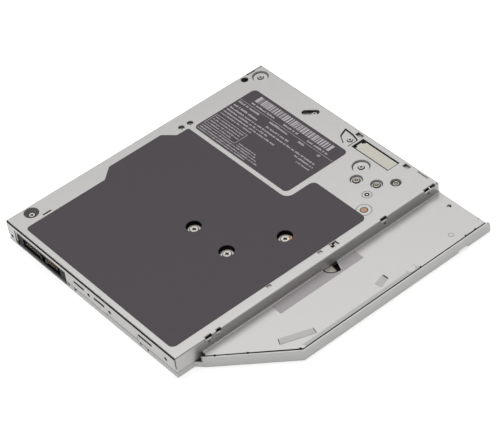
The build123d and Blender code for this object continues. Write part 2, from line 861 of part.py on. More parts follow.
with BuildPart() as spindle_shaft:
    disc(spindle, shaft_r, hub_tip + shaft_cap, tray_top - running * 2)
finish(spindle_shaft.part, "spindle_shaft")

with BuildPart() as turntable_pad:
    disc(spindle, rotor_r, pad_face, rotor_low)
    drill(spindle, pad_in, pad_face, rotor_low)
finish(turntable_pad.part, "turntable_pad")

with BuildPart() as spindle_hub:
    disc(spindle, hub_r, hub_tip, rotor_low)
    chamfer(spindle_hub.faces().sort_by(Axis.Z)[0].edges(), hub_r - hub_nose_r)
    drill(spindle, shaft_r, hub_tip + shaft_cap, rotor_low)
    with Locations((*at(*spindle), (hub_tip + rotor_low) / 2)):
        with PolarLocations(hub_r, claws):
            Box(claw_slot, claw_wide + 2 * running, rotor_low - hub_tip, mode=Mode.SUBTRACT)
finish(spindle_hub.part, "spindle_hub")

with BuildPart() as hub_claws:
    with Locations((*at(*spindle), rotor_low)):
        with PolarLocations(hub_r + claw_reach - claw_thick / 2, claws):
            Box(
                claw_thick,
                claw_wide,
                rotor_low - hub_tip - claw_reach * 2,
                align=(Align.CENTER, Align.CENTER, Align.MAX),
            )
finish(hub_claws.part, "hub_claws")


# Lead screw, driven by the sled motor: its core here, its thread of 3 mm lead in scene.py
screw_core_r = 0.9
screw_thread_r = 1.25
screw_u = (cross_rail[1] + 0.5, frame_end - 9.0)

with BuildPart() as lead_screw:
    rod((sled_motor_u[0] + journal_in + journal_gap, journal_end), screw_v, axis_z, journal_r)
    rod(screw_u, screw_v, axis_z, screw_core_r)
finish(lead_screw.part, "lead_screw")


# Pickup: the optical body that slides on the two rods
pickup_u = (14.2, 27.7)
pickup_v = (-14.2, 15.6)
pickup_z = (5.5, 8.1)
pickup_corner = 3.2
lens_u = 24.2
lens_r = 2.0
fork_v = 18.3
fork_u = (18.0, 24.0)
fork_thick = 0.8
holder_half = (2.6, 3.9)
holder_z = (5.25, 6.9)
holder_gap = 0.4
pickup_lid = 0.2
nut_u = (17.5, 23.0)
nut_reach = 0.1
nut_tooth = 0.5
nut_half = 0.8
lens_edge = 0.5
lens_bulge = 0.4
lens_ball = (lens_r**2 + lens_bulge**2) / (2 * lens_bulge)

with BuildPart() as pickup_body:
    bar(pickup_u, pickup_v, pickup_z)
    bar(
        (lens_u - holder_half[0] - holder_gap, lens_u + holder_half[0] + holder_gap),
        (-holder_half[1] - holder_gap, holder_half[1] + holder_gap),
        (pickup_z[0], holder_z[1] + holder_gap),
        mode=Mode.SUBTRACT,
    )
    rod(pickup_u, main_rod_v, axis_z, main_rod_r + running, Mode.SUBTRACT)
    for side in (-1, 1):
        jaw = side_rod_r + running
        jaws = sorted((axis_z + side * jaw, axis_z + side * (jaw + fork_thick)))
        bar(fork_u, (pickup_v[1] - fork_thick, fork_v), jaws)
    extrude(
        carriage_outline(
            pickup_z[0],
            (
                (pickup_u[1] - pickup_corner, pickup_v[0]),
                (pickup_u[1], pickup_v[0]),
                (pickup_u[1], pickup_v[0] + pickup_corner),
            ),
        ),
        amount=pickup_z[1] - pickup_z[0],
        mode=Mode.SUBTRACT,
    )
finish(pickup_body.part, "pickup_body")

with BuildPart() as pickup_lid_plate:
    bar(
        (pickup_u[0] + 1, pickup_u[1] - 1),
        (pickup_v[0] + 4, pickup_v[1] - 1),
        (pickup_z[1], pickup_z[1] + pickup_lid),
    )
finish(pickup_lid_plate.part, "pickup_lid")

with BuildPart() as drive_nut:
    bar(
        nut_u,
        (screw_v + screw_thread_r + nut_reach, pickup_v[0]),
        (axis_z - nut_half, axis_z + nut_half),
    )
    bar(
        ((nut_u[0] + nut_u[1] - nut_tooth) / 2, (nut_u[0] + nut_u[1] + nut_tooth) / 2),
        (screw_v + screw_core_r + nut_reach, screw_v + screw_thread_r + 2 * nut_reach),
        (axis_z - nut_tooth / 2, axis_z + nut_tooth / 2),
    )
finish(drive_nut.part, "drive_nut")

with BuildPart() as lens_holder:
    bar(
        (lens_u - holder_half[0], lens_u + holder_half[0]),
        (-holder_half[1], holder_half[1]),
        holder_z,
    )
    with Locations(carriage.location * Pos(lens_u, 0, holder_z[0])):
        Cylinder(
            lens_r,
            holder_z[1] - holder_z[0],
            align=(Align.CENTER, Align.CENTER, Align.MIN),
            mode=Mode.SUBTRACT,
        )
finish(lens_holder.part, "lens_holder")

with BuildPart() as objective_lens:
    lens_centre = (carriage.location * Pos(lens_u, 0, holder_z[0])).position
    lens_plane = Plane(lens_centre, x_dir=carriage.x_dir, z_dir=-carriage.y_dir)
    with BuildSketch(lens_plane):
        with BuildLine():
            Polyline((0, 0), (0, lens_bulge + lens_edge), (lens_r, lens_bulge + lens_edge), (lens_r, lens_bulge))
            RadiusArc((lens_r, lens_bulge), (0, 0), lens_ball)
        make_face()
    revolve(axis=Axis(lens_centre, (0, 0, 1)))
finish(objective_lens.part, "objective_lens")


# Inner deck: carries gears, levers and the traverse's bearings above the disc
deck_low = wing_under
deck_top = 5.0
deck_x = (0.9, 95.3)
deck_y = (41.0, 126.3)
deck_clear = 0.8
pin_bay = 7.0
bracket_screw_r = 0.6
pillar_r = 2.2
post_r = 0.7
pillars = (front_dimple, big_dimple)
dimple_under = height - dimple_depth - dimple_floor
bush_r = 1.5
bush_v = (frame_half + 0.5, frame_half + 3.0)
bracket_u = (49.8, 54.2)
ear_left_u = (44.0, 51.0)
ear_left_v = 39.5
ear_right_u = (46.5, 51.0)
ear_right_v = 31.0
ear_low = 7.4

with BuildPart() as inner_deck:
    block(deck_x, deck_y, (deck_low, deck_top))
    extrude(
        carriage_outline(deck_low, frame_outer, grow=deck_clear),
        amount=deck_top - deck_low,
        mode=Mode.SUBTRACT,
    )
    extrude(
        carriage_outline(deck_low, frame_tray, grow=deck_clear),
        amount=deck_top - deck_low,
        mode=Mode.SUBTRACT,
    )
    for place in pillars:
        disc(place, pillar_r, deck_top, dimple_under)
        drill(place, bracket_screw_r, deck_top, dimple_under)
    for place in (link_post, idler_post, wheel_post, pinion_post):
        drill(place, post_r, deck_low, deck_top)
    drill(lever_post, lever_shank_r + running, deck_low, deck_top)
    cut((lift_pin_x[0] - pin_bay, deck_x[1]), (deck_y[0], lift_pin_y + pin_bay / 2), (deck_low, deck_top))
    cut((spindle[0], deck_x[1]), (deck_y[0], deck_y[0] + pin_bay), (deck_low, deck_top))
finish(inner_deck.part, "inner_deck")

with BuildPart() as pivot_brackets:
    for side, ear_u, ear_v, top in (
        (1, ear_left_u, ear_left_v, rail_top),
        (-1, ear_right_u, ear_right_v, height - recess_depth - sheet),
    ):
        bar(bracket_u, sorted((side * bush_v[0], side * bush_v[1])), (deck_top, rail_top))
        bar(ear_u, sorted((side * bush_v[0], side * ear_v)), (ear_low, top))
        cross_rod(pivot_u, sorted((side * bush_v[0], side * bush_v[1])), axis_z, bush_r, Mode.SUBTRACT)
    for place in pair_screws:
        drill(place, bracket_screw_r, ear_low, rail_top)
    drill(recess_screw, bracket_screw_r, ear_low, height)
finish(pivot_brackets.part, "pivot_brackets")

with BuildPart() as pivot_bushes:
    for side in (-1, 1):
        cross_rod(pivot_u, sorted((side * bush_v[0], side * bush_v[1])), axis_z, bush_r)
        cross_rod(
            pivot_u,
            sorted((side * bush_v[0], side * bush_v[1])),
            axis_z,
            pivot_pin_r + running,
            Mode.SUBTRACT,
        )
finish(pivot_bushes.part, "pivot_bushes")


# Case screws that show in the dimples, the recess and the small windows
case_head_r = 1.0
case_head = 0.35
case_shank_r = 0.6
thread_gap = 0.1
case_screw_seats = (
    (rear_dimple, rear_floor_z, board_top + thread_gap),
    (front_dimple, height - dimple_depth, deck_top + part_gap),
    (big_dimple, height - dimple_depth, deck_top + part_gap),
    (recess_screw, height - recess_depth, ear_low + thread_gap),
    (pair_screws[0], rail_top, ear_low + thread_gap),
    (pair_screws[1], rail_top, ear_low + thread_gap),
)

with BuildPart() as case_screws:
    for place, seat, tip in case_screw_seats:
        disc(place, case_head_r, seat, seat + case_head)
        disc(place, case_shank_r, tip, seat)
finish(case_screws.part, "case_screws")


# Loading gears: places, tooth counts and the module that their posts set
pinion_teeth = 16
idler_small_teeth = 19
idler_large_teeth = 26
wheel_pinion_teeth = 10
wheel_teeth = 25
post_spread = hypot(idler_post[0] - wheel_post[0], idler_post[1] - wheel_post[1])
low_module = 2 * post_spread / (pinion_teeth + idler_small_teeth)
top_module = 2 * post_spread / (wheel_pinion_teeth + idler_large_teeth)
pinion_pitch_r = low_module * pinion_teeth / 2
worm_y = (window_y[0] + window_y[1]) / 2 - 0.1
motor_z = 6.95
worm_pitch_r = 1.6
wheel_pitch_r = worm_y - wheel_post[1] - worm_pitch_r
wheel_module = 2 * wheel_pitch_r / wheel_teeth
worm_starts = 2
worm_lead = worm_starts * pi * wheel_module
tooth_addendum = 0.85
tooth_dedendum = 1.2
tooth_fill = 0.82
flank_angle = 70
gear_running = 0.05
thread_sink = 0.1
low_gear = (5.2, 5.95)
wheel_layer = (motor_z - 0.5, motor_z + 0.5)
top_gear = (7.5, 8.05)
gear_hub_r = 1.4


def gear_teeth(plane, place, teeth, module, tooth_at):
    """Gear outline whose first tooth points at an angle in degrees."""
    pitch_r = teeth * module / 2
    depth = (tooth_addendum + tooth_dedendum) * module
    root_r = pitch_r - tooth_dedendum * module
    root_wide = tooth_fill * pi * module / 2 + 2 * tooth_dedendum * module / tan_flank
    sink = module / 5
    with BuildSketch(plane, mode=Mode.PRIVATE) as outline:
        with Locations(at(*place)):
            Circle(root_r)
            with PolarLocations(root_r + (depth - sink) / 2, teeth, start_angle=tooth_at):
                Trapezoid(root_wide, depth + sink, flank_angle, rotation=-90)
    return outline.sketch


def screw_thread(axis, first, turn, radii, wide):
    """Thread of trapezoid section, swept along a helix around an axis."""
    with BuildLine(Plane.XY, mode=Mode.PRIVATE) as path:
        Helix(*turn, radii[0], center=first, direction=axis.z_dir)
    start = path.line @ 0
    with BuildSketch(
        Plane(start, x_dir=start - Vector(first), z_dir=path.line % 0), mode=Mode.PRIVATE
    ) as section:
        with BuildLine():
            Polyline(
                (-thread_sink, -wide / 2),
                (radii[1] - radii[0], -wide / 6),
                (radii[1] - radii[0], wide / 6),
                (-thread_sink, wide / 2),
                close=True,
            )
        make_face()
    sweep(section.sketch, path=path.line, is_frenet=True)


def mesh_angle(driver, driver_teeth, driver_tooth_at, driven, driven_teeth):
    """Angle of a tooth on a driven gear, so that it is in mesh with its driver."""
    line = degrees(atan2(driven[1] - driver[1], driven[0] - driver[0]))
    share = ((line - driver_tooth_at) / (360 / driver_teeth)) % 1
    return line + 180 - (0.5 - share) * 360 / driven_teeth


tan_flank = sin(radians(flank_angle)) / cos(radians(flank_angle))
idler_small_at = mesh_angle(wheel_post, pinion_teeth, 0, idler_post, idler_small_teeth)
idler_large_at = mesh_angle(wheel_post, wheel_pinion_teeth, 0, idler_post, idler_large_teeth)

with BuildPart() as rack_pinion:
    extrude(
        gear_teeth(Plane.XY.offset(low_gear[0]), wheel_post, pinion_teeth, low_module, 0),
        amount=low_gear[1] - low_gear[0],
    )
    drill(wheel_post, post_r + gear_running, *low_gear)
finish(rack_pinion.part, "rack_pinion")

with BuildPart() as worm_wheel:
    extrude(
        gear_teeth(Plane.XY.offset(wheel_layer[0]), wheel_post, wheel_teeth, wheel_module, 90),
        amount=wheel_layer[1] - wheel_layer[0],
    )
    extrude(
        gear_teeth(Plane.XY.offset(wheel_layer[1]), wheel_post, wheel_pinion_teeth, top_module, 0),
        amount=top_gear[1] - wheel_layer[1],
    )
    disc(wheel_post, gear_hub_r, low_gear[1] + gear_running, wheel_layer[0])
    drill(wheel_post, post_r + gear_running, low_gear[1], top_gear[1])
finish(worm_wheel.part, "worm_wheel")

with BuildPart() as idler_gear:
    extrude(
        gear_teeth(Plane.XY.offset(low_gear[0]), idler_post, idler_small_teeth, low_module, idler_small_at),
        amount=low_gear[1] - low_gear[0],
    )
    extrude(
        gear_teeth(Plane.XY.offset(top_gear[0]), idler_post, idler_large_teeth, top_module, idler_large_at),
        amount=top_gear[1] - top_gear[0],
    )
    disc(idler_post, gear_hub_r, low_gear[1], top_gear[0])
    drill(idler_post, post_r + gear_running, low_gear[0], top_gear[1])
finish(idler_gear.part, "idler_gear")


# Loading motor under the window, with its cap, pad, shaft and worm
motor_gap = 0.2
motor_x = (66.2, window_x[1] - motor_gap)
motor_cap_x = (window_x[0] + 2 * motor_gap, motor_x[0])
motor_y = (window_y[0] + motor_gap, window_y[1] - motor_gap)
motor_low = deck_top
motor_top = 2 * motor_z - motor_low
pad_high = 0.3
cap_inset = 0.4
motor_shaft_r = 0.6
motor_boss_r = 1.5
motor_boss_high = 1.0
motor_shaft_in = 3.0
shaft_gap = 0.5
shaft_end = 95.2
worm_core_r = worm_pitch_r - tooth_dedendum * wheel_module
worm_tip_r = worm_pitch_r + tooth_addendum * wheel_module
worm_turns = 2.0
worm_start = wheel_post[0] - worm_turns * worm_lead / 2
worm_thread_wide = 0.4

with BuildPart() as loading_motor:
    motor_face = Plane(origin=(left + motor_x[0], rear + worm_y, motor_z), x_dir=(0, 1, 0), z_dir=(1, 0, 0))
    with BuildSketch(motor_face):
        Circle((motor_y[1] - motor_y[0]) / 2)
        Rectangle(motor_y[1] - motor_y[0], motor_top - motor_low, mode=Mode.INTERSECT)
    extrude(amount=motor_x[1] - motor_x[0])
    with BuildSketch(motor_face.offset(motor_x[1] - motor_x[0])):
        Circle(motor_boss_r)
    extrude(amount=motor_boss_high)
    with BuildSketch(motor_face.offset(motor_shaft_in)):
        Circle(motor_shaft_r + running)
    extrude(amount=motor_x[1] - motor_x[0], mode=Mode.SUBTRACT)
finish(loading_motor.part, "loading_motor")

with BuildPart() as motor_cap:
    block(motor_cap_x, (motor_y[0] + cap_inset, motor_y[1] - cap_inset), (motor_low, motor_top))
    fillet(motor_cap.edges().filter_by(Axis.X), cap_inset * 2)
finish(motor_cap.part, "motor_cap")

with BuildPart() as motor_pad:
    block(motor_x, (motor_y[0] + cap_inset, motor_y[1] - cap_inset), (motor_top, motor_top + pad_high))
finish(motor_pad.part, "motor_pad")

with BuildPart() as motor_shaft:
    with Locations((*at(motor_x[0] + motor_shaft_in + shaft_gap, worm_y), motor_z)):
        Cylinder(
            motor_shaft_r,
            shaft_end - motor_x[0] - motor_shaft_in - shaft_gap,
            rotation=(0, 90, 0),
            align=(Align.CENTER, Align.CENTER, Align.MIN),
        )
finish(motor_shaft.part, "motor_shaft")

worm_axis = Plane(origin=(left + worm_start, rear + worm_y, motor_z), x_dir=(0, -1, 0), z_dir=(1, 0, 0))
with BuildPart() as worm:
    with BuildSketch(worm_axis.offset(-wheel_module)):
        Circle(worm_core_r)
        Circle(motor_shaft_r, mode=Mode.SUBTRACT)
    extrude(amount=worm_turns * worm_lead + 2 * wheel_module)
    for start in range(worm_starts):
        screw_thread(
            worm_axis,
            worm_axis.origin + worm_axis.z_dir * start * worm_lead / worm_starts,
            (worm_lead, (worm_turns - 0.5) * worm_lead),
            (worm_core_r, worm_tip_r),
            worm_thread_wide,
        )
finish(worm.part, "worm")


# Cam slider: its rack is driven by the gears, its sloped slot lowers the traverse
slider_travel = 9.0
slider_x = (96.5, 97.7)
slider_y = (58.0, 126.2)
slider_top = 8.6
rail_top_z = 8.0
slider_low = 5.15
cam_wall_y = (60.0, 82.0)
cam_wall_low = 3.4
flange_x = (slider_x[1], 101.7)
flange_y = (58.0, 112.0)
flange_top = 5.85
flange_rim = 1.2
flange_windows = 4
flange_window = 10.0
slider_window_y = (86.0, 110.0)
slider_rim = 0.6
cam_clear = 0.1
lift_angle = degrees(atan2(lift, pivot_u))
pin_reach_u = (slider_x[0] - spindle[0]) * cos(travel) + (lift_pin_y - spindle[1]) * sin(travel)
pin_drop = (pivot_u - pin_reach_u) * sin(radians(lift_angle))
rack_pitch_x = wheel_post[0] + pinion_pitch_r
tooth_pitch = pi * low_module
rack_teeth_count = int(slider_travel / tooth_pitch) + 2
rack_deep = (tooth_addendum + tooth_dedendum) * low_module
rack_root_x = rack_pitch_x + tooth_dedendum * low_module
rack_base = tooth_fill * tooth_pitch / 2 + 2 * tooth_dedendum * low_module / tan_flank
rack_long = 11.6

with BuildPart() as cam_slider:
    block(slider_x, slider_y, (slider_low, rail_top_z))
    block(slider_x, cam_wall_y, (cam_wall_low, slider_top))
    block(flange_x, flange_y, (slider_low, flange_top))
    for step in range(flange_windows):
        y = flange_y[0] + flange_rim * 2 + step * (flange_window + flange_rim * 2)
        cut(
            (flange_x[0] + flange_rim, flange_x[1] - flange_rim),
            (y, y + flange_window),
            (slider_low, flange_top),
        )
    cut(slider_x, slider_window_y, (flange_top + slider_rim, rail_top_z - slider_rim))
    slider_side = Plane(origin=(left + slider_x[0], rear, 0), x_dir=(0, 1, 0), z_dir=(1, 0, 0))
    with BuildSketch(slider_side):
        with Locations((lift_pin_y + slider_travel / 2, lift_pin_z - pin_drop / 2)):
            SlotCenterToCenter(
                hypot(slider_travel, pin_drop),
                2 * (lift_pin_r + cam_clear),
                rotation=-degrees(atan2(pin_drop, slider_travel)),
            )
    extrude(amount=slider_x[1] - slider_x[0], mode=Mode.SUBTRACT)
    block((rack_root_x, slider_x[0]), (slider_y[1] - rack_long, slider_y[1]), low_gear)
    with BuildSketch(Plane.XY.offset(low_gear[0])):
        for step in range(rack_teeth_count):
            with Locations(at(rack_root_x - rack_deep / 2, wheel_post[1] + (step - 0.5) * tooth_pitch)):
                Trapezoid(rack_base, rack_deep, flank_angle, rotation=90)
    extrude(amount=low_gear[1] - low_gear[0])
finish(cam_slider.part, "cam_slider")


# Riveted posts of gears and levers
rivet_head_r = 1.15
rivet_head = 0.3
collar_r = 1.2
lever_flange_r = 1.9
lever_z = (3.35, 4.05)
flange_z = (3.0, 3.25)
small_post_r = 1.0
small_flange_r = 1.7
guide_post = (8.0, 118.0)

with BuildPart() as gear_posts:
    for place in (link_post, idler_post, wheel_post):
        disc(place, post_r, deck_low, height - dimple_depth)
        disc(place, rivet_head_r, height - dimple_depth, height - dimple_depth + rivet_head)
        disc(place, collar_r, deck_top, low_gear[0] - gear_running)
    disc(pinion_post, post_r, deck_low, height)
finish(gear_posts.part, "gear_posts")

with BuildPart() as lever_post_pin:
    disc(lever_post, lever_shank_r, flange_z[0], height)
    disc(lever_post, lever_flange_r, *flange_z)
finish(lever_post_pin.part, "lever_post")

with BuildPart() as lever_pivots:
    for place, top in ((eject_post, plate_inner), (guide_post, deck_low)):
        disc(place, small_post_r, flange_z[0], top)
        disc(place, small_flange_r, *flange_z)
finish(lever_pivots.part, "lever_pivots")


def lever(pivot, bore, hub_radius, angle, length, tip_radius, hub_top):
    """Flat tapered arm with a round hub and a round tip, drilled at its pivot."""
    tip = (pivot[0] + length * cos(radians(angle)), pivot[1] + length * sin(radians(angle)))
    side = radians(angle + 90)
    with BuildSketch(Plane.XY.offset(lever_z[0])) as outline:
        with Locations(at(*pivot)):
            Circle(hub_radius)
        with Locations(at(*tip)):
            Circle(tip_radius)
        with BuildLine():
            Polyline(
                at(pivot[0] + hub_radius * cos(side), pivot[1] + hub_radius * sin(side)),
                at(tip[0] + tip_radius * cos(side), tip[1] + tip_radius * sin(side)),
                at(tip[0] - tip_radius * cos(side), tip[1] - tip_radius * sin(side)),
                at(pivot[0] - hub_radius * cos(side), pivot[1] - hub_radius * sin(side)),
                close=True,
            )
        make_face()
    extrude(outline.sketch, amount=lever_z[1] - lever_z[0])
    if hub_top > lever_z[1]:
        disc(pivot, hub_radius, lever_z[1], hub_top)
    drill(pivot, bore, lever_z[0], hub_top)
    return tip


# Loading lever with its free roller, eject lever and sprung guide lever
loading_angle = 35.0
loading_length = 30.0
roller_r = 1.7
roller_pin_r = 0.5
roller_z = (1.3, 3.1)
roller_gap = 0.1
pin_head = 0.25
loading_hub_r = 2.6
loading_tip_r = 1.4
eject_hub_r = 2.2
guide_hub_r = 1.9
guide_tip_r = 1.4
eject_angle = -19.1
eject_length = 44.0
guide_angle = -80.0
guide_length = 20.0
tip_r = 1.5
tip_low = 1.3

with BuildPart() as loading_lever:
    roller_place = lever(
        lever_post,
        lever_shank_r + running,
        loading_hub_r,
        loading_angle,
        loading_length,
        loading_tip_r,
        lever_z[1],
    )
    drill(roller_place, roller_pin_r, *lever_z)
finish(loading_lever.part, "loading_lever")

with BuildPart() as roller_pin:
    disc(roller_place, roller_pin_r, roller_z[0] - roller_gap, lever_z[1])
    disc(
        roller_place,
        roller_pin_r * 2,
        roller_z[0] - roller_gap - pin_head,
        roller_z[0] - roller_gap,
    )
finish(roller_pin.part, "roller_pin")

with BuildPart() as loading_roller:
    disc(roller_place, roller_r, *roller_z)
    drill(roller_place, roller_pin_r + running, *roller_z)
finish(loading_roller.part, "loading_roller")

with BuildPart() as eject_lever:
    eject_tip_place = lever(
        eject_post, small_post_r + running, eject_hub_r, eject_angle, eject_length, tip_r, deck_top
    )
finish(eject_lever.part, "eject_lever")

with BuildPart() as eject_tip:
    disc(eject_tip_place, tip_r, tip_low, lever_z[0])
finish(eject_tip.part, "eject_tip")

with BuildPart() as guide_lever:
    guide_tip_place = lever(
        guide_post,
        small_post_r + running,
        guide_hub_r,
        guide_angle,
        guide_length,
        guide_tip_r,
        lever_z[1],
    )
finish(guide_lever.part, "guide_lever")

with BuildPart() as guide_tip:
    disc(guide_tip_place, guide_tip_r, tip_low, lever_z[0])
finish(guide_tip.part, "guide_tip")


# Switch lever on the link post, its switch, and the felts of the disc slot
switch_lever_z = (5.2, 6.0)
switch_arm = 8.6
switch_arm_wide = 1.8
switch_hub_r = 1.6
switch_angle = 200.0
switch_x = (66.6, 69.6)
switch_y = (101.4, 106.4)
switch_top = 6.4
button_reach = 0.4
button_y = (103.4, 104.4)
button_z = (deck_top + button_reach, deck_top + 1.0)
felt_x = (slot_left + 1.2, overall_width - 5.0)
felt_y = (124.4, body_depth - sheet - 0.3)
felt_thick = 0.6

with BuildPart() as switch_lever:
    with BuildSketch(Plane.XY.offset(switch_lever_z[0])):
        with Locations(at(*link_post)):
            Circle(switch_hub_r)
            with PolarLocations(switch_arm / 2, 1, start_angle=switch_angle):
                Rectangle(switch_arm, switch_arm_wide)
        with Locations(at(*link_post)):
            Circle(post_r + gear_running, mode=Mode.SUBTRACT)
    extrude(amount=switch_lever_z[1] - switch_lever_z[0])
finish(switch_lever.part, "switch_lever")

with BuildPart() as disc_switch:
    block(switch_x, switch_y, (deck_top, switch_top))
    block((switch_x[1], switch_x[1] + button_reach), button_y, button_z)
finish(disc_switch.part, "disc_switch")

with BuildPart() as slot_felts:
    block(felt_x, felt_y, (floor_top, floor_top + felt_thick))
    block(felt_x, felt_y, (deck_low - felt_thick, deck_low))
finish(slot_felts.part, "slot_felts")
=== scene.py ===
import json

import bpy
import numpy as np
from mathutils import Matrix, Vector
from mathutils.geometry import tessellate_polygon


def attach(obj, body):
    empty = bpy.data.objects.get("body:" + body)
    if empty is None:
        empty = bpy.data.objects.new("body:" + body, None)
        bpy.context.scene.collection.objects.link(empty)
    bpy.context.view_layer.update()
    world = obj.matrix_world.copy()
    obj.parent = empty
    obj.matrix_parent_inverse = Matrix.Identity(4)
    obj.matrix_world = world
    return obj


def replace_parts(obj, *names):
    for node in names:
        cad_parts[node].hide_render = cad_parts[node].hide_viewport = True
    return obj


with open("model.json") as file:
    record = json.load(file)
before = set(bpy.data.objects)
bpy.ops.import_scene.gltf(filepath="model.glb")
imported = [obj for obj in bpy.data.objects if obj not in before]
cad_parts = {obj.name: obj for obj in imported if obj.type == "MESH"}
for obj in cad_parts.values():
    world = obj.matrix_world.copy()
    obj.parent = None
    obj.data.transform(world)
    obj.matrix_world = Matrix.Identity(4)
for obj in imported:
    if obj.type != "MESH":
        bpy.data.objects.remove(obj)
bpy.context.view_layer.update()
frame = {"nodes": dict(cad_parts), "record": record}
nodes = frame["nodes"]

# Plan places are millimetres from the case's rear left corner, heights from the cover's outer face
mm = 0.001
middle = np.array([64.0, 64.4, 0.0])

# Places that several pieces share
spindle = np.array([64.1, 64.4])
rearDimple = (3.95, 9.2)
frontDimple = (5.65, 122.05)
largeDimple = (74.9, 113.3)
recessSpot = (60.35, 120.8)
pinionSpot = (88.3, 104.0)
leverSpot = (93.7, 97.5)
postSpots = [(79.1, 107.0), (86.6, 110.5), (91.2, 116.05)]


def place(points):
    # point in the row's frame, in metres = (point in millimetres - middle of the case) x mm
    return (np.asarray(points, float) - middle) * mm


def srgb(red, green, blue):
    # linear = value / 12.92 for dark values, ((value + 0.055) / 1.055) to the power 2.4 above them
    values = np.array([red, green, blue]) / 255.0
    linear = np.where(values <= 0.04045, values / 12.92, ((values + 0.055) / 1.055) ** 2.4)
    return (*[float(v) for v in linear], 1.0)


# What a finish has where its row says nothing, and what all of them share
finishDefaults = {"metallic": 0.0, "specular": 0.5, "spread": 0.04}
noiseDetail = 3.0
glassIndex = 1.5
bumpDistance = 0.00002


def newMaterial(name, row):
    # colour = written colour x (1 + spread x noise), with the same noise as a fine bump
    settings = {**finishDefaults, **row}
    material = bpy.data.materials.new(name)
    material.use_nodes = True
    tree = material.node_tree
    shader = tree.nodes["Principled BSDF"]
    shader.inputs["Metallic"].default_value = settings["metallic"]
    shader.inputs["Roughness"].default_value = settings["roughness"]
    shader.inputs["Specular IOR Level"].default_value = settings["specular"]
    if "transmission" in settings:
        shader.inputs["Transmission Weight"].default_value = settings["transmission"]
        shader.inputs["IOR"].default_value = glassIndex
    coordinates = tree.nodes.new("ShaderNodeTexCoord")
    noise = tree.nodes.new("ShaderNodeTexNoise")
    noise.inputs["Scale"].default_value = settings["grain"]
    noise.inputs["Detail"].default_value = noiseDetail
    tree.links.new(coordinates.outputs["Object"], noise.inputs["Vector"])
    level = tree.nodes.new("ShaderNodeMapRange")
    level.inputs["To Min"].default_value = 1.0 - settings["spread"]
    level.inputs["To Max"].default_value = 1.0 + settings["spread"]
    tree.links.new(noise.outputs["Fac"], level.inputs["Value"])
    grey = tree.nodes.new("ShaderNodeCombineColor")
    for channel in ("Red", "Green", "Blue"):
        tree.links.new(level.outputs["Result"], grey.inputs[channel])
    tint = tree.nodes.new("ShaderNodeMix")
    tint.data_type = "RGBA"
    tint.blend_type = "MULTIPLY"
    tint.inputs["Factor"].default_value = 1.0
    tint.inputs["A"].default_value = srgb(*settings["colour"])
    tree.links.new(grey.outputs["Color"], tint.inputs["B"])
    tree.links.new(tint.outputs["Result"], shader.inputs["Base Color"])
    if "bump" in settings:
        bump = tree.nodes.new("ShaderNodeBump")
        bump.inputs["Strength"].default_value = settings["bump"]
        bump.inputs["Distance"].default_value = bumpDistance
        tree.links.new(noise.outputs["Fac"], bump.inputs["Height"])
        tree.links.new(bump.outputs["Normal"], shader.inputs["Normal"])
    return material


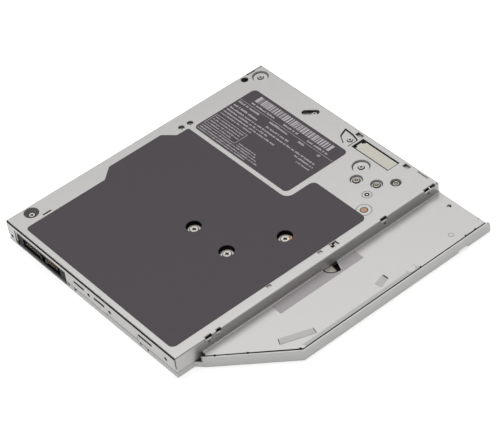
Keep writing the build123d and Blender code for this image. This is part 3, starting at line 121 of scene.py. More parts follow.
# One finish for each material slot of the part, then those of the prints, tapes and shadows
materialSettings = {
    "plated_sheet": {
        "colour": (206, 205, 203), "metallic": 0.45, "roughness": 0.4,
        "grain": 2600.0, "spread": 0.035, "bump": 0.25,
    },
    "cover_sheet": {
        "colour": (204, 204, 202), "metallic": 0.4, "roughness": 0.4,
        "grain": 2600.0, "spread": 0.03, "bump": 0.2,
    },
    "film": {
        "colour": (82, 76, 81), "roughness": 0.45, "grain": 3500.0,
        "spread": 0.03, "specular": 0.25,
    },
    "circuit_board": {"colour": (40, 74, 48), "roughness": 0.4, "grain": 700.0, "spread": 0.15},
    "plated_part": {"colour": (176, 175, 171), "metallic": 0.6, "roughness": 0.38, "grain": 1200.0},
    "screw_metal": {"colour": (206, 203, 197), "metallic": 0.5, "roughness": 0.34, "grain": 1500.0},
    "dark_plastic": {
        "colour": (24, 24, 26), "roughness": 0.55, "grain": 2000.0,
        "spread": 0.1, "specular": 0.2,
    },
    "amber_film": {"colour": (205, 145, 62), "roughness": 0.3, "grain": 400.0, "spread": 0.08},
    "contact_metal": {"colour": (176, 140, 76), "metallic": 0.7, "roughness": 0.35, "grain": 900.0},
    "white_plastic": {"colour": (226, 223, 214), "roughness": 0.45, "grain": 600.0, "spread": 0.03},
    "motor_case": {"colour": (160, 159, 155), "metallic": 0.7, "roughness": 0.35, "grain": 900.0},
    "cream_foam": {
        "colour": (228, 224, 213), "roughness": 0.9, "grain": 1800.0,
        "spread": 0.12, "bump": 0.4, "specular": 0.1,
    },
    "copper_pin": {"colour": (186, 148, 120), "metallic": 0.4, "roughness": 0.42, "grain": 1400.0},
    "felt": {
        "colour": (24, 24, 27), "roughness": 0.95, "grain": 5000.0,
        "spread": 0.3, "bump": 0.6, "specular": 0.1,
    },
    "cast_metal": {
        "colour": (136, 138, 142), "metallic": 0.5, "roughness": 0.5,
        "grain": 1600.0, "spread": 0.08, "bump": 0.3,
    },
    "polished_rod": {
        "colour": (205, 206, 208), "metallic": 0.95, "roughness": 0.15,
        "grain": 500.0, "spread": 0.02,
    },
    "bearing_metal": {
        "colour": (176, 144, 84), "metallic": 0.8, "roughness": 0.35,
        "grain": 1400.0,
    },
    "magnet": {"colour": (43, 43, 46), "roughness": 0.5, "grain": 1500.0, "spread": 0.1},
    "rubber_pad": {"colour": (24, 24, 24), "roughness": 0.75, "grain": 1800.0, "spread": 0.15},
    "lens_glass": {
        "colour": (214, 224, 242), "roughness": 0.05, "transmission": 0.8,
        "grain": 300.0, "spread": 0.01,
    },
    "gear_plastic": {"colour": (230, 227, 216), "roughness": 0.4, "grain": 500.0, "spread": 0.02},
    "label_ink": {"colour": (200, 196, 201), "roughness": 0.5, "grain": 3000.0, "spread": 0.04},
    "wing_tape": {"colour": (182, 176, 179), "roughness": 0.55, "grain": 1500.0, "spread": 0.03},
    # grey of the tape along the wing's edge, also painted shade on the wing's pressed tab and bridge
    "edge_tape": {
        "colour": (194, 194, 193), "metallic": 0.2, "roughness": 0.45,
        "grain": 1500.0, "spread": 0.03,
    },
    # dark grey laid where seams, gaps and hollows fall in shade: painted shade
    "seam_dark": {
        "colour": (34, 33, 34), "roughness": 0.8, "grain": 1500.0,
        "spread": 0.1, "specular": 0.1,
    },
    # darker grey for the pressed rings and the rear dimple's slope: painted shade
    "crease_grey": {
        "colour": (114, 113, 112), "metallic": 0.3, "roughness": 0.5,
        "grain": 1500.0, "spread": 0.05,
    },
    # brightened gold for the contact tips: painted glint
    "gold_tip": {"colour": (232, 178, 82), "metallic": 0.2, "roughness": 0.4, "grain": 1400.0},
    "brass_pin": {"colour": (168, 148, 122), "metallic": 0.6, "roughness": 0.4, "grain": 1400.0},
}
materials = {name: newMaterial(name, row) for name, row in materialSettings.items()}
slotOf = {part["node"]: part["material_slot"] for part in frame["record"]["subparts"]}
for name, node in nodes.items():
    node.data.materials.clear()
    node.data.materials.append(materials[slotOf[name]])
print("materials", len(materials))


def newPiece(name, body, slotName, points, faces, finish=None):
    # a mesh from points in millimetres, riding a body and taking its finish from a slot
    mesh = bpy.data.meshes.new(name)
    mesh.from_pydata(place(points).tolist(), [], [list(map(int, face)) for face in faces])
    mesh.materials.append(materials[finish or slotName])
    mesh.validate()
    mesh.update()
    piece = bpy.data.objects.new(name, mesh)
    bpy.context.scene.collection.objects.link(piece)
    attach(piece, body)
    return piece


def shadePiece(name, body, mesh):
    # painted shade: a dark piece laid where a seam, shadow or gap falls in shade
    newPiece(name, body, "dark_plastic", *mesh, "seam_dark")


def boxes(spans):
    # corner of a box = its low or high x, y and z, taken in all eight ways
    spans = np.asarray(spans, float).reshape(-1, 3, 2)
    pick = np.array([(0, 0, 0), (1, 0, 0), (1, 1, 0), (0, 1, 0), (0, 0, 1), (1, 0, 1), (1, 1, 1), (0, 1, 1)])
    corners = np.stack([spans[:, axis, pick[:, axis]] for axis in range(3)], axis=-1)
    sides = np.array([(0, 3, 2, 1), (4, 5, 6, 7), (0, 1, 5, 4), (1, 2, 6, 5), (2, 3, 7, 6), (3, 0, 4, 7)])
    faces = (np.arange(len(spans))[:, None, None] * 8 + sides).reshape(-1, 4)
    return corners.reshape(-1, 3), faces


def sheet(outline, low, high, holes=()):
    # flat plate: the outline and its holes at two heights, joined by walls and closed by triangles
    def turned(loop, way):
        loop = np.asarray(loop, float)
        area = np.sum(loop[:, 0] * np.roll(loop[:, 1], -1) - np.roll(loop[:, 0], -1) * loop[:, 1])
        return loop if area * way > 0 else loop[::-1]

    loops = [turned(outline, 1)] + [turned(hole, -1) for hole in holes]
    flat = np.concatenate(loops)
    count = len(flat)
    points = np.concatenate([np.column_stack([flat, np.full(count, z)]) for z in (low, high)])
    cells = tessellate_polygon([[Vector((x, y, 0.0)) for x, y in loop] for loop in loops])
    faces = []
    for a, b, c in cells:
        first, second = flat[b] - flat[a], flat[c] - flat[a]
        up = (a, b, c) if first[0] * second[1] - first[1] * second[0] > 0 else (a, c, b)
        faces += [tuple(count + i for i in up), up[::-1]]
    start = 0
    for loop in loops:
        here = start + np.arange(len(loop))
        after = start + (np.arange(len(loop)) + 1) % len(loop)
        faces += np.column_stack([here, after, after + count, here + count]).tolist()
        start += len(loop)
    return points, faces


def roundedLoop(corners, radii, steps=7):
    # each corner becomes an arc: centre + radius x (cos, sin), from one side's normal to the next's
    corners = np.asarray(corners, float)
    before, after = np.roll(corners, 1, axis=0) - corners, np.roll(corners, -1, axis=0) - corners
    points = []
    for corner, back, ahead, radius in zip(corners, before, after, radii):
        back, ahead = back / np.hypot(*back), ahead / np.hypot(*ahead)
        if radius == 0:
            points.append(corner)
            continue
        half = np.arccos(np.clip(back @ ahead, -1, 1)) / 2
        bisector = (back + ahead) / np.hypot(*(back + ahead))
        centre = corner + bisector * radius / np.sin(half)
        reach = radius / np.tan(half)
        start, stop = corner + back * reach - centre, corner + ahead * reach - centre
        first = np.arctan2(start[1], start[0])
        sweep = (np.arctan2(stop[1], stop[0]) - first + np.pi) % (2 * np.pi) - np.pi
        turn = first + sweep * np.linspace(0, 1, steps)
        points += list(centre + radius * np.column_stack([np.cos(turn), np.sin(turn)]))
    return np.array(points)


def circle(centre, radius, steps=48):
    # centre + radius x (cos, sin)
    turn = np.arange(steps) * 2 * np.pi / steps
    return np.column_stack([centre[0] + radius * np.cos(turn), centre[1] + radius * np.sin(turn)])


def gridFaces(rows, columns, closedRows=False):
    # quads between neighbouring rows, the columns closed into rings
    i = np.arange(rows if closedRows else rows - 1)[:, None]
    j = np.arange(columns)[None, :]
    a = i * columns + j
    b = i * columns + (j + 1) % columns
    c = (i + 1) % rows * columns + (j + 1) % columns
    d = (i + 1) % rows * columns + j
    return np.stack([a, b, c, d], axis=-1).reshape(-1, 4)


def tube(points):
    # rows of points joined into rings by quads, with one face over each end
    rows, columns = points.shape[:2]
    faces = gridFaces(rows, columns).tolist()
    faces.append(list(range(columns))[::-1])
    faces.append([(rows - 1) * columns + j for j in range(columns)])
    return points.reshape(-1, 3), faces


def lathe(centre, profile, drop=None, columns=64):
    # point = centre + (r cos a, r sin a, z - drop(r cos a, r sin a)) along a profile of r and z
    profile = np.asarray(profile, float)
    turn = np.arange(columns) * 2 * np.pi / columns
    x, y = profile[:, :1] * np.cos(turn), profile[:, :1] * np.sin(turn)
    z = profile[:, 1:] + 0 * x
    lows = [profile[0, 1], profile[-1, 1]]
    if drop is not None:
        upper = np.arange(len(profile))[:, None] >= len(profile) - drop["rows"]
        z = z - np.where(upper, drop["shape"](x, y), 0.0)
        lows[1] -= float(drop["shape"](np.zeros(1), np.zeros(1))[0])
    ring = np.stack([centre[0] + x, centre[1] + y, z], axis=-1).reshape(-1, 3)
    poles = np.array([(centre[0], centre[1], lows[0]), (centre[0], centre[1], lows[1])])
    count, rows = len(ring), len(profile)
    j = np.arange(columns)
    after = (j + 1) % columns
    last = (rows - 1) * columns
    faces = gridFaces(rows, columns).tolist()
    faces += np.column_stack([after, j, np.full(columns, count)]).tolist()
    faces += np.column_stack([last + j, last + after, np.full(columns, count + 1)]).tolist()
    return np.concatenate([ring, poles]), faces


def joined(shapes):
    # several meshes as one: their points in a row, and each one's faces moved on by those before
    points, faces, start = [], [], 0
    for shapePoints, shapeFaces in shapes:
        points.append(shapePoints)
        faces += [[start + int(i) for i in face] for face in shapeFaces]
        start += len(shapePoints)
    return np.concatenate(points), faces


# Label: a plate with round corners, on it bars, rules, a frame and rows of dashes, none of them text
labelSettings = {
    "corners": [(10.3, 83.7), (65.4, 83.7), (65.4, 115.3), (10.3, 115.3)],
    "radius": 2.0,
    "low": 9.505,
    "high": 9.588,
    "inkHigh": 9.599,
    "inkSunk": 0.003,
    "bars": (15.9, 59.5, 110.3, 113.9),
    "barWidths": [0.28, 0.55, 0.85],
    "barGaps": [0.28, 0.55],
    "endBar": 1.4,
    "endSpace": 1.6,
    "rule": (10.6, 65.0, 107.35, 107.5),
    "framed": (11.1, 29.7, 88.2, 95.0),
    "frameEdge": 0.2,
    "rows": [
        (108.45, 16.0, 30.0, 1.0), (108.45, 35.0, 44.0, 1.0), (108.45, 49.0, 61.0, 1.0),
        (105.6, 11.4, 24.0, 1.05), (105.6, 30.0, 41.0, 1.05),
        (105.6, 47.0, 51.0, 1.05), (105.6, 58.0, 59.6, 1.05),
        (103.0, 11.4, 26.0, 1.05), (103.0, 31.0, 44.0, 0.9),
        (101.1, 11.4, 61.5, 0.85), (99.5, 11.4, 36.0, 0.8), (97.9, 11.4, 42.0, 0.8), (96.4, 11.4, 30.0, 0.7),
        (99.4, 52.0, 62.5, 0.8), (97.6, 55.0, 62.5, 0.7),
        (93.4, 12.0, 28.8, 0.65), (92.0, 12.0, 28.0, 0.65),
        (90.6, 12.0, 28.8, 0.65), (89.2, 12.0, 26.0, 0.65),
        (86.9, 11.4, 44.0, 0.65), (85.6, 11.4, 46.0, 0.65), (84.5, 11.4, 40.0, 0.6),
        (88.1, 31.0, 42.0, 0.6), (89.3, 31.0, 41.0, 0.6),
    ],
    "dash": {
        "pitch": 0.55, "wide": (0.35, 0.6), "tall": (0.6, 1.0),
        "gap": 0.24, "wordGap": 0.8, "words": 0.16,
    },
    "seed": 11,
}


def dashRow(generator, dash, y, xLow, xHigh, high):
    # dash = row height x random width and height, with a broad gap after some and a narrow one after others
    count = int((xHigh - xLow) / (high * dash["pitch"])) + 1
    wide = high * generator.uniform(*dash["wide"], count)
    gap = high * np.where(generator.random(count) < dash["words"], dash["wordGap"], dash["gap"])
    start = xLow + np.concatenate([[0.0], np.cumsum(wide + gap)[:-1]])
    tall = high * generator.uniform(*dash["tall"], count)
    keep = start + wide < xHigh
    return np.column_stack([start, start + wide, np.full(count, y), y + tall])[keep]


def barStrip(generator, settings):
    # upright bars of a few widths with a few gaps between them, and a broad one at each end
    xLow, xHigh, yLow, yHigh = settings["bars"]
    count = int((xHigh - xLow) / min(settings["barWidths"]))
    wide, gap = generator.choice(settings["barWidths"], count), generator.choice(settings["barGaps"], count)
    start = xLow + settings["endSpace"] + np.concatenate([[0.0], np.cumsum(wide + gap)[:-1]])
    keep = start + wide < xHigh - settings["endSpace"]
    bars = np.column_stack([start, start + wide, np.full(count, yLow), np.full(count, yHigh)])[keep]
    ends = [(xLow, xLow + settings["endBar"], yLow, yHigh), (xHigh - settings["endBar"], xHigh, yLow, yHigh)]
    return np.concatenate([bars, ends])


def labelInk(settings):
    # all printed rectangles as thin boxes: x low, x high, y low, y high, and the ink's two heights
    generator = np.random.default_rng(settings["seed"])
    left, right, low, high = settings["framed"]
    edge = settings["frameEdge"]
    marks = [
        barStrip(generator, settings),
        [settings["rule"]],
        [(left, right, low, low + edge), (left, right, high - edge, high)],
        [(left, left + edge, low, high), (right - edge, right, low, high)],
    ]
    marks += [dashRow(generator, settings["dash"], *row) for row in settings["rows"]]
    marks = np.concatenate(marks)
    heights = np.tile([settings["high"] - settings["inkSunk"], settings["inkHigh"]], (len(marks), 1))
    return boxes(np.column_stack([marks, heights]))


labelLoop = roundedLoop(labelSettings["corners"], [labelSettings["radius"]] * 4)
labelPlate = sheet(labelLoop, labelSettings["low"], labelSettings["high"])
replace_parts(newPiece("label_sheet", "chassis", "film", *labelPlate), "rating_label")
newPiece("label_ink", "chassis", "film", *labelInk(labelSettings), "label_ink")
print("label")


# Film: round corners, a notch round the label, two slanted corners, windows over the tilt screws
filmSettings = {
    "corners": [
        (9.55, 2.53), (97.85, 2.53), (97.85, 95.2), (68.2, 95.2), (68.2, 81.7),
        (9.4, 81.7), (9.4, 75.9), (4.7, 71.6), (4.7, 45.9), (9.55, 40.1),
    ],
    "radii": [1.6, 2.4, 2.4, 2.4, 3.4, 1.0, 1.2, 1.2, 1.2, 1.2],
    "low": 9.503,
    "high": 9.6,
    "windowRadius": 3.07,
    "circle": 19.3,
    "angles": (240.5, 299.8, 10.2),
}
tiltAngles = np.radians(filmSettings["angles"])
tiltSpots = spindle + filmSettings["circle"] * np.column_stack([np.cos(tiltAngles), np.sin(tiltAngles)])
filmLoop = roundedLoop(filmSettings["corners"], filmSettings["radii"])
filmHoles = [circle(spot, filmSettings["windowRadius"]) for spot in tiltSpots]
filmPlate = sheet(filmLoop, filmSettings["low"], filmSettings["high"], filmHoles)
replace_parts(newPiece("film_sheet", "chassis", "film", *filmPlate), "insulating_film")
print("film")


# Screws: shank, head and a cross pressed into the head's top
screwSettings = {
    "case": [
        (rearDimple, 6.3, 8.0, 1.15), (frontDimple, 6.0, 8.75, 1.0), (largeDimple, 6.0, 8.75, 1.05),
        (recessSpot, 7.5, 9.05, 1.0), ((6.95, 80.1), 7.5, 8.2, 1.0), ((7.34, 84.2), 7.5, 8.2, 1.0),
    ],
    "caseHead": 0.38,
    "caseShank": 0.6,
    "tilt": {"tip": 6.4, "seat": 7.6, "shank": 0.7, "steps": [(2.6, 0.25), (1.6, 0.55)]},
    "end": {"tip": 8.0, "seat": 8.2, "shank": 0.5, "steps": [(1.1, 0.5), (0.8, 0.78)]},
    "endSpot": (38.3, 122.0),
    "tipShare": 0.6,
    "tipRise": 0.15,
    "bevel": 0.06,
    "topEdge": 0.12,
    "topMiddle": 0.04,
    "topRings": 12,
    "cross": {"reach": 0.52, "half": 0.17, "depth": 0.2, "edge": 0.06},
    # size of the dark boxes laid in the pressed crosses as painted shade
    "mark": {"reach": 0.5, "half": 0.16, "high": 0.004},
}


def crossDrop(radius, cross):
    # drop = depth where |x| or |y| is under half and the other under reach, sloped over the edge
    def shape(x, y):
        long, short = np.maximum(abs(x), abs(y)), np.minimum(abs(x), abs(y))
        inLength = np.clip((radius * cross["reach"] - long) / cross["edge"], 0, 1)
        inWidth = np.clip((radius * cross["half"] - short) / cross["edge"], 0, 1)
        return cross["depth"] * inLength * inWidth

    return shape


def screw(settings, spot, tip, seat, shank, steps):
    # profile: shank from its tip up to the seat, then each step's radius and rise, then the top inwards
    radius, top = steps[-1][0], seat + steps[-1][1]
    profile = [(shank * settings["tipShare"], tip), (shank, tip + settings["tipRise"]), (shank, seat)]
    low, bevel = seat, settings["bevel"]
    for stepRadius, rise in steps:
        profile += [(stepRadius, low), (stepRadius, seat + rise - bevel), (stepRadius - bevel, seat + rise)]
        low = seat + rise
    inner = np.linspace(radius - settings["topEdge"], settings["topMiddle"], settings["topRings"])
    profile += [(r, top) for r in inner]
    return lathe(spot, profile, {"rows": len(inner), "shape": crossDrop(radius, settings["cross"])})


def crossShadeBoxes(settings, spot, radius, top):
    # two crossed dark boxes in the pressed cross, painted shade in the recess, each reach x radius long and
    # half x radius wide, both ways
    x, y = spot
    long, short = radius * settings["mark"]["reach"], radius * settings["mark"]["half"]
    low, high = top - settings["cross"]["depth"], top + settings["mark"]["high"]
    return boxes([
        (x - long, x + long, y - short, y + short, low, high),
        (x - short, x + short, y - long, y + long, low, high),
    ])


head, shank = screwSettings["caseHead"], screwSettings["caseShank"]
caseScrews = screwSettings["case"]
caseSet = [screw(screwSettings, spot, tip, seat, shank, [(r, head)]) for spot, tip, seat, r in caseScrews]
caseCrossShade = [crossShadeBoxes(screwSettings, spot, r, seat + head) for spot, _, seat, r in caseScrews]
tiltScrews = [(spot, screwSettings["tilt"]) for spot in tiltSpots]
tiltScrews.append((screwSettings["endSpot"], screwSettings["end"]))
tiltSet = [screw(screwSettings, spot, **kind) for spot, kind in tiltScrews]
tiltCrossShade = [
    crossShadeBoxes(screwSettings, spot, kind["steps"][-1][0], kind["seat"] + kind["steps"][-1][1])
    for spot, kind in tiltScrews
]
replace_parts(newPiece("case_screw_set", "chassis", "screw_metal", *joined(caseSet)), "case_screws")
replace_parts(newPiece("tilt_screw_set", "traverse", "screw_metal", *joined(tiltSet)), "traverse_screws")
# dark boxes in the heads' pressed crosses: painted shade
shadePiece("case_screw_cross_shade", "chassis", joined(caseCrossShade))
shadePiece("tilt_screw_cross_shade", "traverse", joined(tiltCrossShade))
print("screws", len(caseSet) + len(tiltSet))


# Rings round the rivets: each a ridge of low round section carried round a circle
def carriedRound(spot, section, columns=64):
    # point = spot + (r cos a, r sin a, z), for each r and z of a closed section
    section = np.asarray(section, float)
    turn = np.arange(columns) * 2 * np.pi / columns
    x = spot[0] + section[:, :1] * np.cos(turn)
    y = spot[1] + section[:, :1] * np.sin(turn)
    ring = np.stack([x, y, section[:, 1:] + 0 * x], axis=-1).reshape(-1, 3)
    return ring, gridFaces(len(section), columns, closedRows=True)


def ridge(spot, radius, half, base, rise, foot=0.01, steps=9):
    # section: r = radius + half cos b, z = base + rise sin b, b from 0 to pi, closed by a flat foot
    b = np.linspace(0, np.pi, steps)
    section = np.column_stack([radius + half * np.cos(b), base + rise * np.sin(b)])
    sole = [(radius - half, base - foot), (radius + half, base - foot)]
    return carriedRound(spot, np.concatenate([section, sole]))


def ridges(spots, rings):
    # one ridge for each ring round each spot
    return [ridge(spot, *ring) for ring in rings for spot in spots]


# A ring is its radius, half its width, its foot's height and its rise
postTop, plateTop, wingTop = 9.05, 9.5, 4.86
rivetSettings = {
    "tilt": [(1.75, 0.12, 7.85, 0.02), (3.1, 0.48, 7.6, 0.1)],
    "windowShade": [(3.0, 0.1, 8.95, 0.42)],
    "collar": [(0.95, 0.22, postTop, 0.14)],
    "pin": [(0.42, postTop - 0.02), (0.42, postTop + 0.1), (0.3, postTop + 0.16)],
    "pinionGap": [(0.72, 0.28, plateTop, 0.02)],
    "postGaps": [(0.6, 0.12, postTop, 0.02), (1.45, 0.2, postTop - 0.28, 0.012)],
    "gapRise": 0.02,
    "dimples": [
        (largeDimple, 3.28, 0.14, 8.75), (largeDimple, 1.25, 0.16, 8.75),
        (frontDimple, 3.02, 0.14, 8.75), (frontDimple, 1.2, 0.16, 8.75),
        (postSpots[0], 2.18, 0.12, 8.75), (postSpots[1], 2.08, 0.12, 8.75), (postSpots[2], 1.8, 0.1, 8.75),
        (recessSpot, 1.15, 0.12, 9.05), (rearDimple, 1.3, 0.14, 8.0), (leverSpot, 1.32, 0.07, plateTop),
    ],
    "plate": [
        (pinionSpot, 1.9, 0.14, plateTop, 0.05),
        (leverSpot, 3.0, 0.14, plateTop, 0.05), (leverSpot, 1.5, 0.12, plateTop, 0.05),
    ],
    "wing": [((124.9, 91.5), 1.85, 0.15, wingTop, 0.08), ((122.8, 113.8), 1.0, 0.1, wingTop, 0.04)],
    "cone": [(3.0, 9.38), (2.9, 9.46), (1.38, 8.08), (1.42, 8.01)],
}
# dark rings round the tilt screws' heads and on each window's wall: painted shadow in the film's windows
shadePiece("tilt_screw_shadow_rings", "traverse", joined(ridges(tiltSpots, rivetSettings["tilt"])))
shadePiece("window_wall_shade", "chassis", joined(ridges(tiltSpots, rivetSettings["windowShade"])))
newPiece("post_collars", "chassis", "screw_metal", *joined(ridges(postSpots, rivetSettings["collar"])))
pins = [lathe(spot, rivetSettings["pin"]) for spot in postSpots]
newPiece("post_pins", "chassis", "screw_metal", *joined(pins), "brass_pin")
# dark rings in the gaps round the pinion and the posts and at the dimples' edges: painted shade
gapShade = ridges([pinionSpot], rivetSettings["pinionGap"]) + ridges(postSpots, rivetSettings["postGaps"])
gapShade += [ridge(*ring, rivetSettings["gapRise"]) for ring in rivetSettings["dimples"]]
shadePiece("rivet_gap_shade", "chassis", joined(gapShade))
# pressed rings on the plate and the wing, in a grey darker than the sheet: painted shade
for name, key in (("plate_rings", "plate"), ("wing_rings", "wing")):
    rings = joined([ridge(*ring) for ring in rivetSettings[key]])
    newPiece(name, "chassis", "plated_sheet", *rings, "crease_grey")


# End of the motor's flat cable beside the third tilt screw: a sector between two radii
cableSettings = {"angles": (5, 75, 9), "radii": (1.66, 2.6), "low": 8.3, "high": 8.35}
sector = np.radians(np.linspace(*cableSettings["angles"]))
sectorWays = np.column_stack([np.cos(sector), np.sin(sector)])
inner, outer = cableSettings["radii"]
sectorLoop = tiltSpots[2] + np.concatenate([inner * sectorWays, outer * sectorWays[::-1]])
cableEnd = sheet(sectorLoop, cableSettings["low"], cableSettings["high"])
newPiece("cable_end", "traverse", "amber_film", *cableEnd)


# Slope of the rear dimple: a ring whose section leans inwards as it goes down, in a darker grey as painted
# shade
cone = carriedRound(rearDimple, rivetSettings["cone"])
newPiece("rear_dimple_cone", "chassis", "plated_sheet", *cone, "crease_grey")
print("rivets")


# Painted shade in seams, gaps and shadows that are finer than the sheet's own gaps: thin dark strips laid in
# them
seamSettings = {
    "rear": [
        (0.4, 102.3, -0.02, 0.25, 8.45, 9.28), (102.25, 102.604, -0.02, 0.1, 4.4, 8.85),
        (1.7, 3.1, -0.02, 0.1, 2.25, 3.05), (2.0, 2.8, -0.021, 0.1, 1.95, 3.35),
        (1.85, 2.95, -0.022, 0.1, 2.1, 3.2), (4.75, 5.4, -0.02, 0.3, 1.3, 7.0),
        (42.4, 48.6, -0.02, 0.4, 5.42, 6.5), (54.7, 60.8, -0.02, 0.4, 5.42, 6.5),
        (80.8, 88.7, -0.02, 0.4, 5.42, 6.5), (50.75, 51.85, 0.12, 0.2, 4.7, 5.8),
        (63.45, 64.55, 0.12, 0.2, 4.7, 5.8), (95.95, 97.05, 0.12, 0.2, 4.7, 5.8),
        (37.3, 62.0, -0.02, 0.3, 2.34, 2.52), (80.0, 102.3, -0.02, 0.3, 2.34, 2.52),
        (62.0, 80.0, -0.02, 0.1, 2.9, 3.02), (61.9, 62.1, -0.02, 0.1, 2.4, 3.9),
        (79.9, 80.1, -0.02, 0.1, 2.4, 4.6),
    ],
    "wing": [
        (127.02, 127.5, 37.7, 126.9, 4.7, 4.882),
        (126.6, 127.5, 86.8, 87.6, 4.7, 4.884), (126.6, 127.5, 94.0, 94.8, 4.7, 4.884),
        (126.6, 127.5, 116.8, 117.6, 4.7, 4.884), (126.6, 127.5, 121.7, 122.5, 4.7, 4.884),
        (126.95, 127.2, 87.6, 94.0, 4.7, 4.882), (126.95, 127.2, 117.6, 121.7, 4.7, 4.882),
        (123.6, 124.2, 126.7, 127.1, 4.7, 4.882),
    ],
    "chamfer": [(105.3, 11.0), (127.4, 37.75)],
    "chamferHalf": 0.27,
    "chamferHeights": (4.7, 4.882),
    "dots": [(114.8, 22.5), (107.4, 13.5), (126.4, 36.9)],
    "dotRadius": 0.55,
    "dotSides": 12,
    "dotHeights": (4.7, 4.884),
    "corner": [
        (0.75, 118.6), (1.25, 118.6), (1.5, 122.6), (1.15, 123.2),
        (1.3, 126.6), (1.1, 126.6), (0.9, 122.9),
    ],
    "cornerHeights": (9.4, 9.52),
    "recess": [
        ((54.4, 123.9), (56.0, 119.8)), ((56.0, 119.8), (60.0, 117.6)), ((62.8, 117.5), (62.8, 122.6)),
        ((62.8, 122.6), (59.0, 123.6)), ((59.0, 123.6), (54.4, 123.9)),
    ],
    "recessHalf": 0.16,
    "recessHeights": (9.06, 9.52),
    "window": [
        (63.82, 64.35, 118.42, 124.58, 8.95, 9.24), (83.7, 84.18, 118.42, 124.58, 8.95, 9.24),
        (64.35, 83.7, 118.42, 119.02, 8.95, 9.24), (64.35, 83.7, 124.0, 124.58, 8.95, 9.24),
        (64.35, 65.0, 119.02, 120.3, 8.95, 9.24), (64.35, 65.3, 122.9, 124.0, 8.95, 9.24),
    ],
}


def strip(start, stop, half, low, high):
    # plate whose corners are start and stop moved sideways by half its width
    start, stop = np.array(start), np.array(stop)
    along = (stop - start) / np.hypot(*(stop - start))
    side = half * np.array([-along[1], along[0]])
    return sheet([start - side, stop - side, stop + side, start + side], low, high)


chamferHalf, chamferHeights = seamSettings["chamferHalf"], seamSettings["chamferHeights"]
wingSeamShade = [boxes(seamSettings["wing"]), strip(*seamSettings["chamfer"], chamferHalf, *chamferHeights)]
for spot in seamSettings["dots"]:
    dot = circle(spot, seamSettings["dotRadius"], seamSettings["dotSides"])
    wingSeamShade.append(sheet(dot, *seamSettings["dotHeights"]))
shadePiece("wing_seam_shade", "chassis", joined(wingSeamShade))
shadePiece("rear_seam_shade", "chassis", boxes(seamSettings["rear"]))
shadePiece("corner_seam_shade", "chassis", sheet(seamSettings["corner"], *seamSettings["cornerHeights"]))
recessHalf, recessHeights = seamSettings["recessHalf"], seamSettings["recessHeights"]
recessEdgeShade = [strip(start, stop, recessHalf, *recessHeights) for start, stop in seamSettings["recess"]]
shadePiece("recess_edge_shade", "chassis", joined(recessEdgeShade))


# Golden tips of the connector's contacts, in a gold brighter than the contacts' metal as a painted glint:
# two rows, each from its first to its last place
contactSettings = {
    "rows": [(11.99, 19.61, 7), (24.02, 30.38, 6)],
    "half": 0.36,
    "depths": (0.52, 1.15),
    "heights": (4.2, 4.36),
}
contactX = np.concatenate([np.linspace(*row) for row in contactSettings["rows"]])
contactSpans = np.column_stack([contactX - contactSettings["half"], contactX + contactSettings["half"]])
contactRest = np.tile(contactSettings["depths"] + contactSettings["heights"], (len(contactX), 1))
contactTips = boxes(np.column_stack([contactSpans, contactRest]))
newPiece("contact_tips", "chassis", "contact_metal", *contactTips, "gold_tip")
# dark frame on the window's walls: painted shade
shadePiece("window_border_shade", "chassis", boxes(seamSettings["window"]))
print("seams")


# Latch springs under the small windows along the film
latchSettings = {
    "tabs": [
        (99.15, 100.3, 77.3, 78.7, 8.95, 9.25), (98.3, 99.0, 75.9, 77.0, 8.95, 9.25),
        (98.55, 99.3, 70.5, 71.7, 9.0, 9.3), (98.45, 99.2, 46.0, 47.3, 9.0, 9.3),
    ],
    "arms": [
        (98.0, 100.6, 78.4, 78.9, 8.6, 8.9), (98.0, 99.6, 71.2, 71.6, 8.6, 8.9),
        (98.0, 99.6, 46.8, 47.2, 8.6, 8.9),
    ],
}
newPiece("latch_tabs", "chassis", "plated_part", *boxes(latchSettings["tabs"] + latchSettings["arms"]))


# Cup under the hole at the foot of the step, whiter than its metal as painted light, with painted shade on
# the hole's edge and a dark plate under it, and floor of the wing's small hole
cupSettings = {
    "rim": [
        (102.75, 68.2), (104.6, 68.5), (106.4, 69.8), (107.1, 71.4),
        (105.8, 72.3), (104.2, 72.6), (102.75, 72.8),
    ],
    "rimSteps": 4,
    "edge": [(102.75, 68.4), (104.7, 68.75), (106.2, 69.9), (107.1, 71.6), (107.4, 73.45)],
    "floor": [(102.0, 66.5), (108.5, 66.5), (108.5, 76.5), (102.0, 76.5)],
    "centre": (104.4, 70.8),
    "top": 4.24,
    "deep": 1.0,
    "thick": 0.2,
    "rings": 10,
    "firstRing": 0.06,
    "edgeHalf": 0.24,
    "edgeHeights": (4.83, 4.93),
    "holeShadowHeights": (2.4, 2.5),
    "pocketSpot": (111.2, 124.1),
    "pocketRadius": 1.1,
    "pocketSides": 24,
    "pocketHeights": (4.1, 4.24),
}


def dish(settings):
    # point = centre + s (rim - centre), z = top - deep sqrt(1 - s s), with a second skin below it
    rim = np.asarray(settings["rim"], float)
    steps = settings["rimSteps"]
    rim = np.linspace(rim, np.roll(rim, -1, axis=0), steps, endpoint=False, axis=1).reshape(-1, 2)
    centre = np.array(settings["centre"])
    s = np.sin(np.linspace(settings["firstRing"], np.pi / 2, settings["rings"]))[:, None]
    skins = []
    for drop, order in ((settings["thick"], slice(None)), (0.0, slice(None, None, -1))):
        share = s[order]
        xy = centre + share[..., None] * (rim - centre)
        sunk = settings["deep"] * np.sqrt(np.clip(1 - share**2, 0, None))
        z = settings["top"] - drop - sunk + 0 * xy[..., 0]
        skins.append(np.concatenate([xy, z[..., None]], axis=-1))
    return tube(np.concatenate(skins))


# the cup takes the white plastic finish instead of the metal of its slot, to look lit under the step's
# shadow: painted light
newPiece("hole_cup", "chassis", "screw_metal", *dish(cupSettings), "white_plastic")
edgeHalf, edgeHeights = cupSettings["edgeHalf"], cupSettings["edgeHeights"]
cupEdges = zip(cupSettings["edge"], cupSettings["edge"][1:])
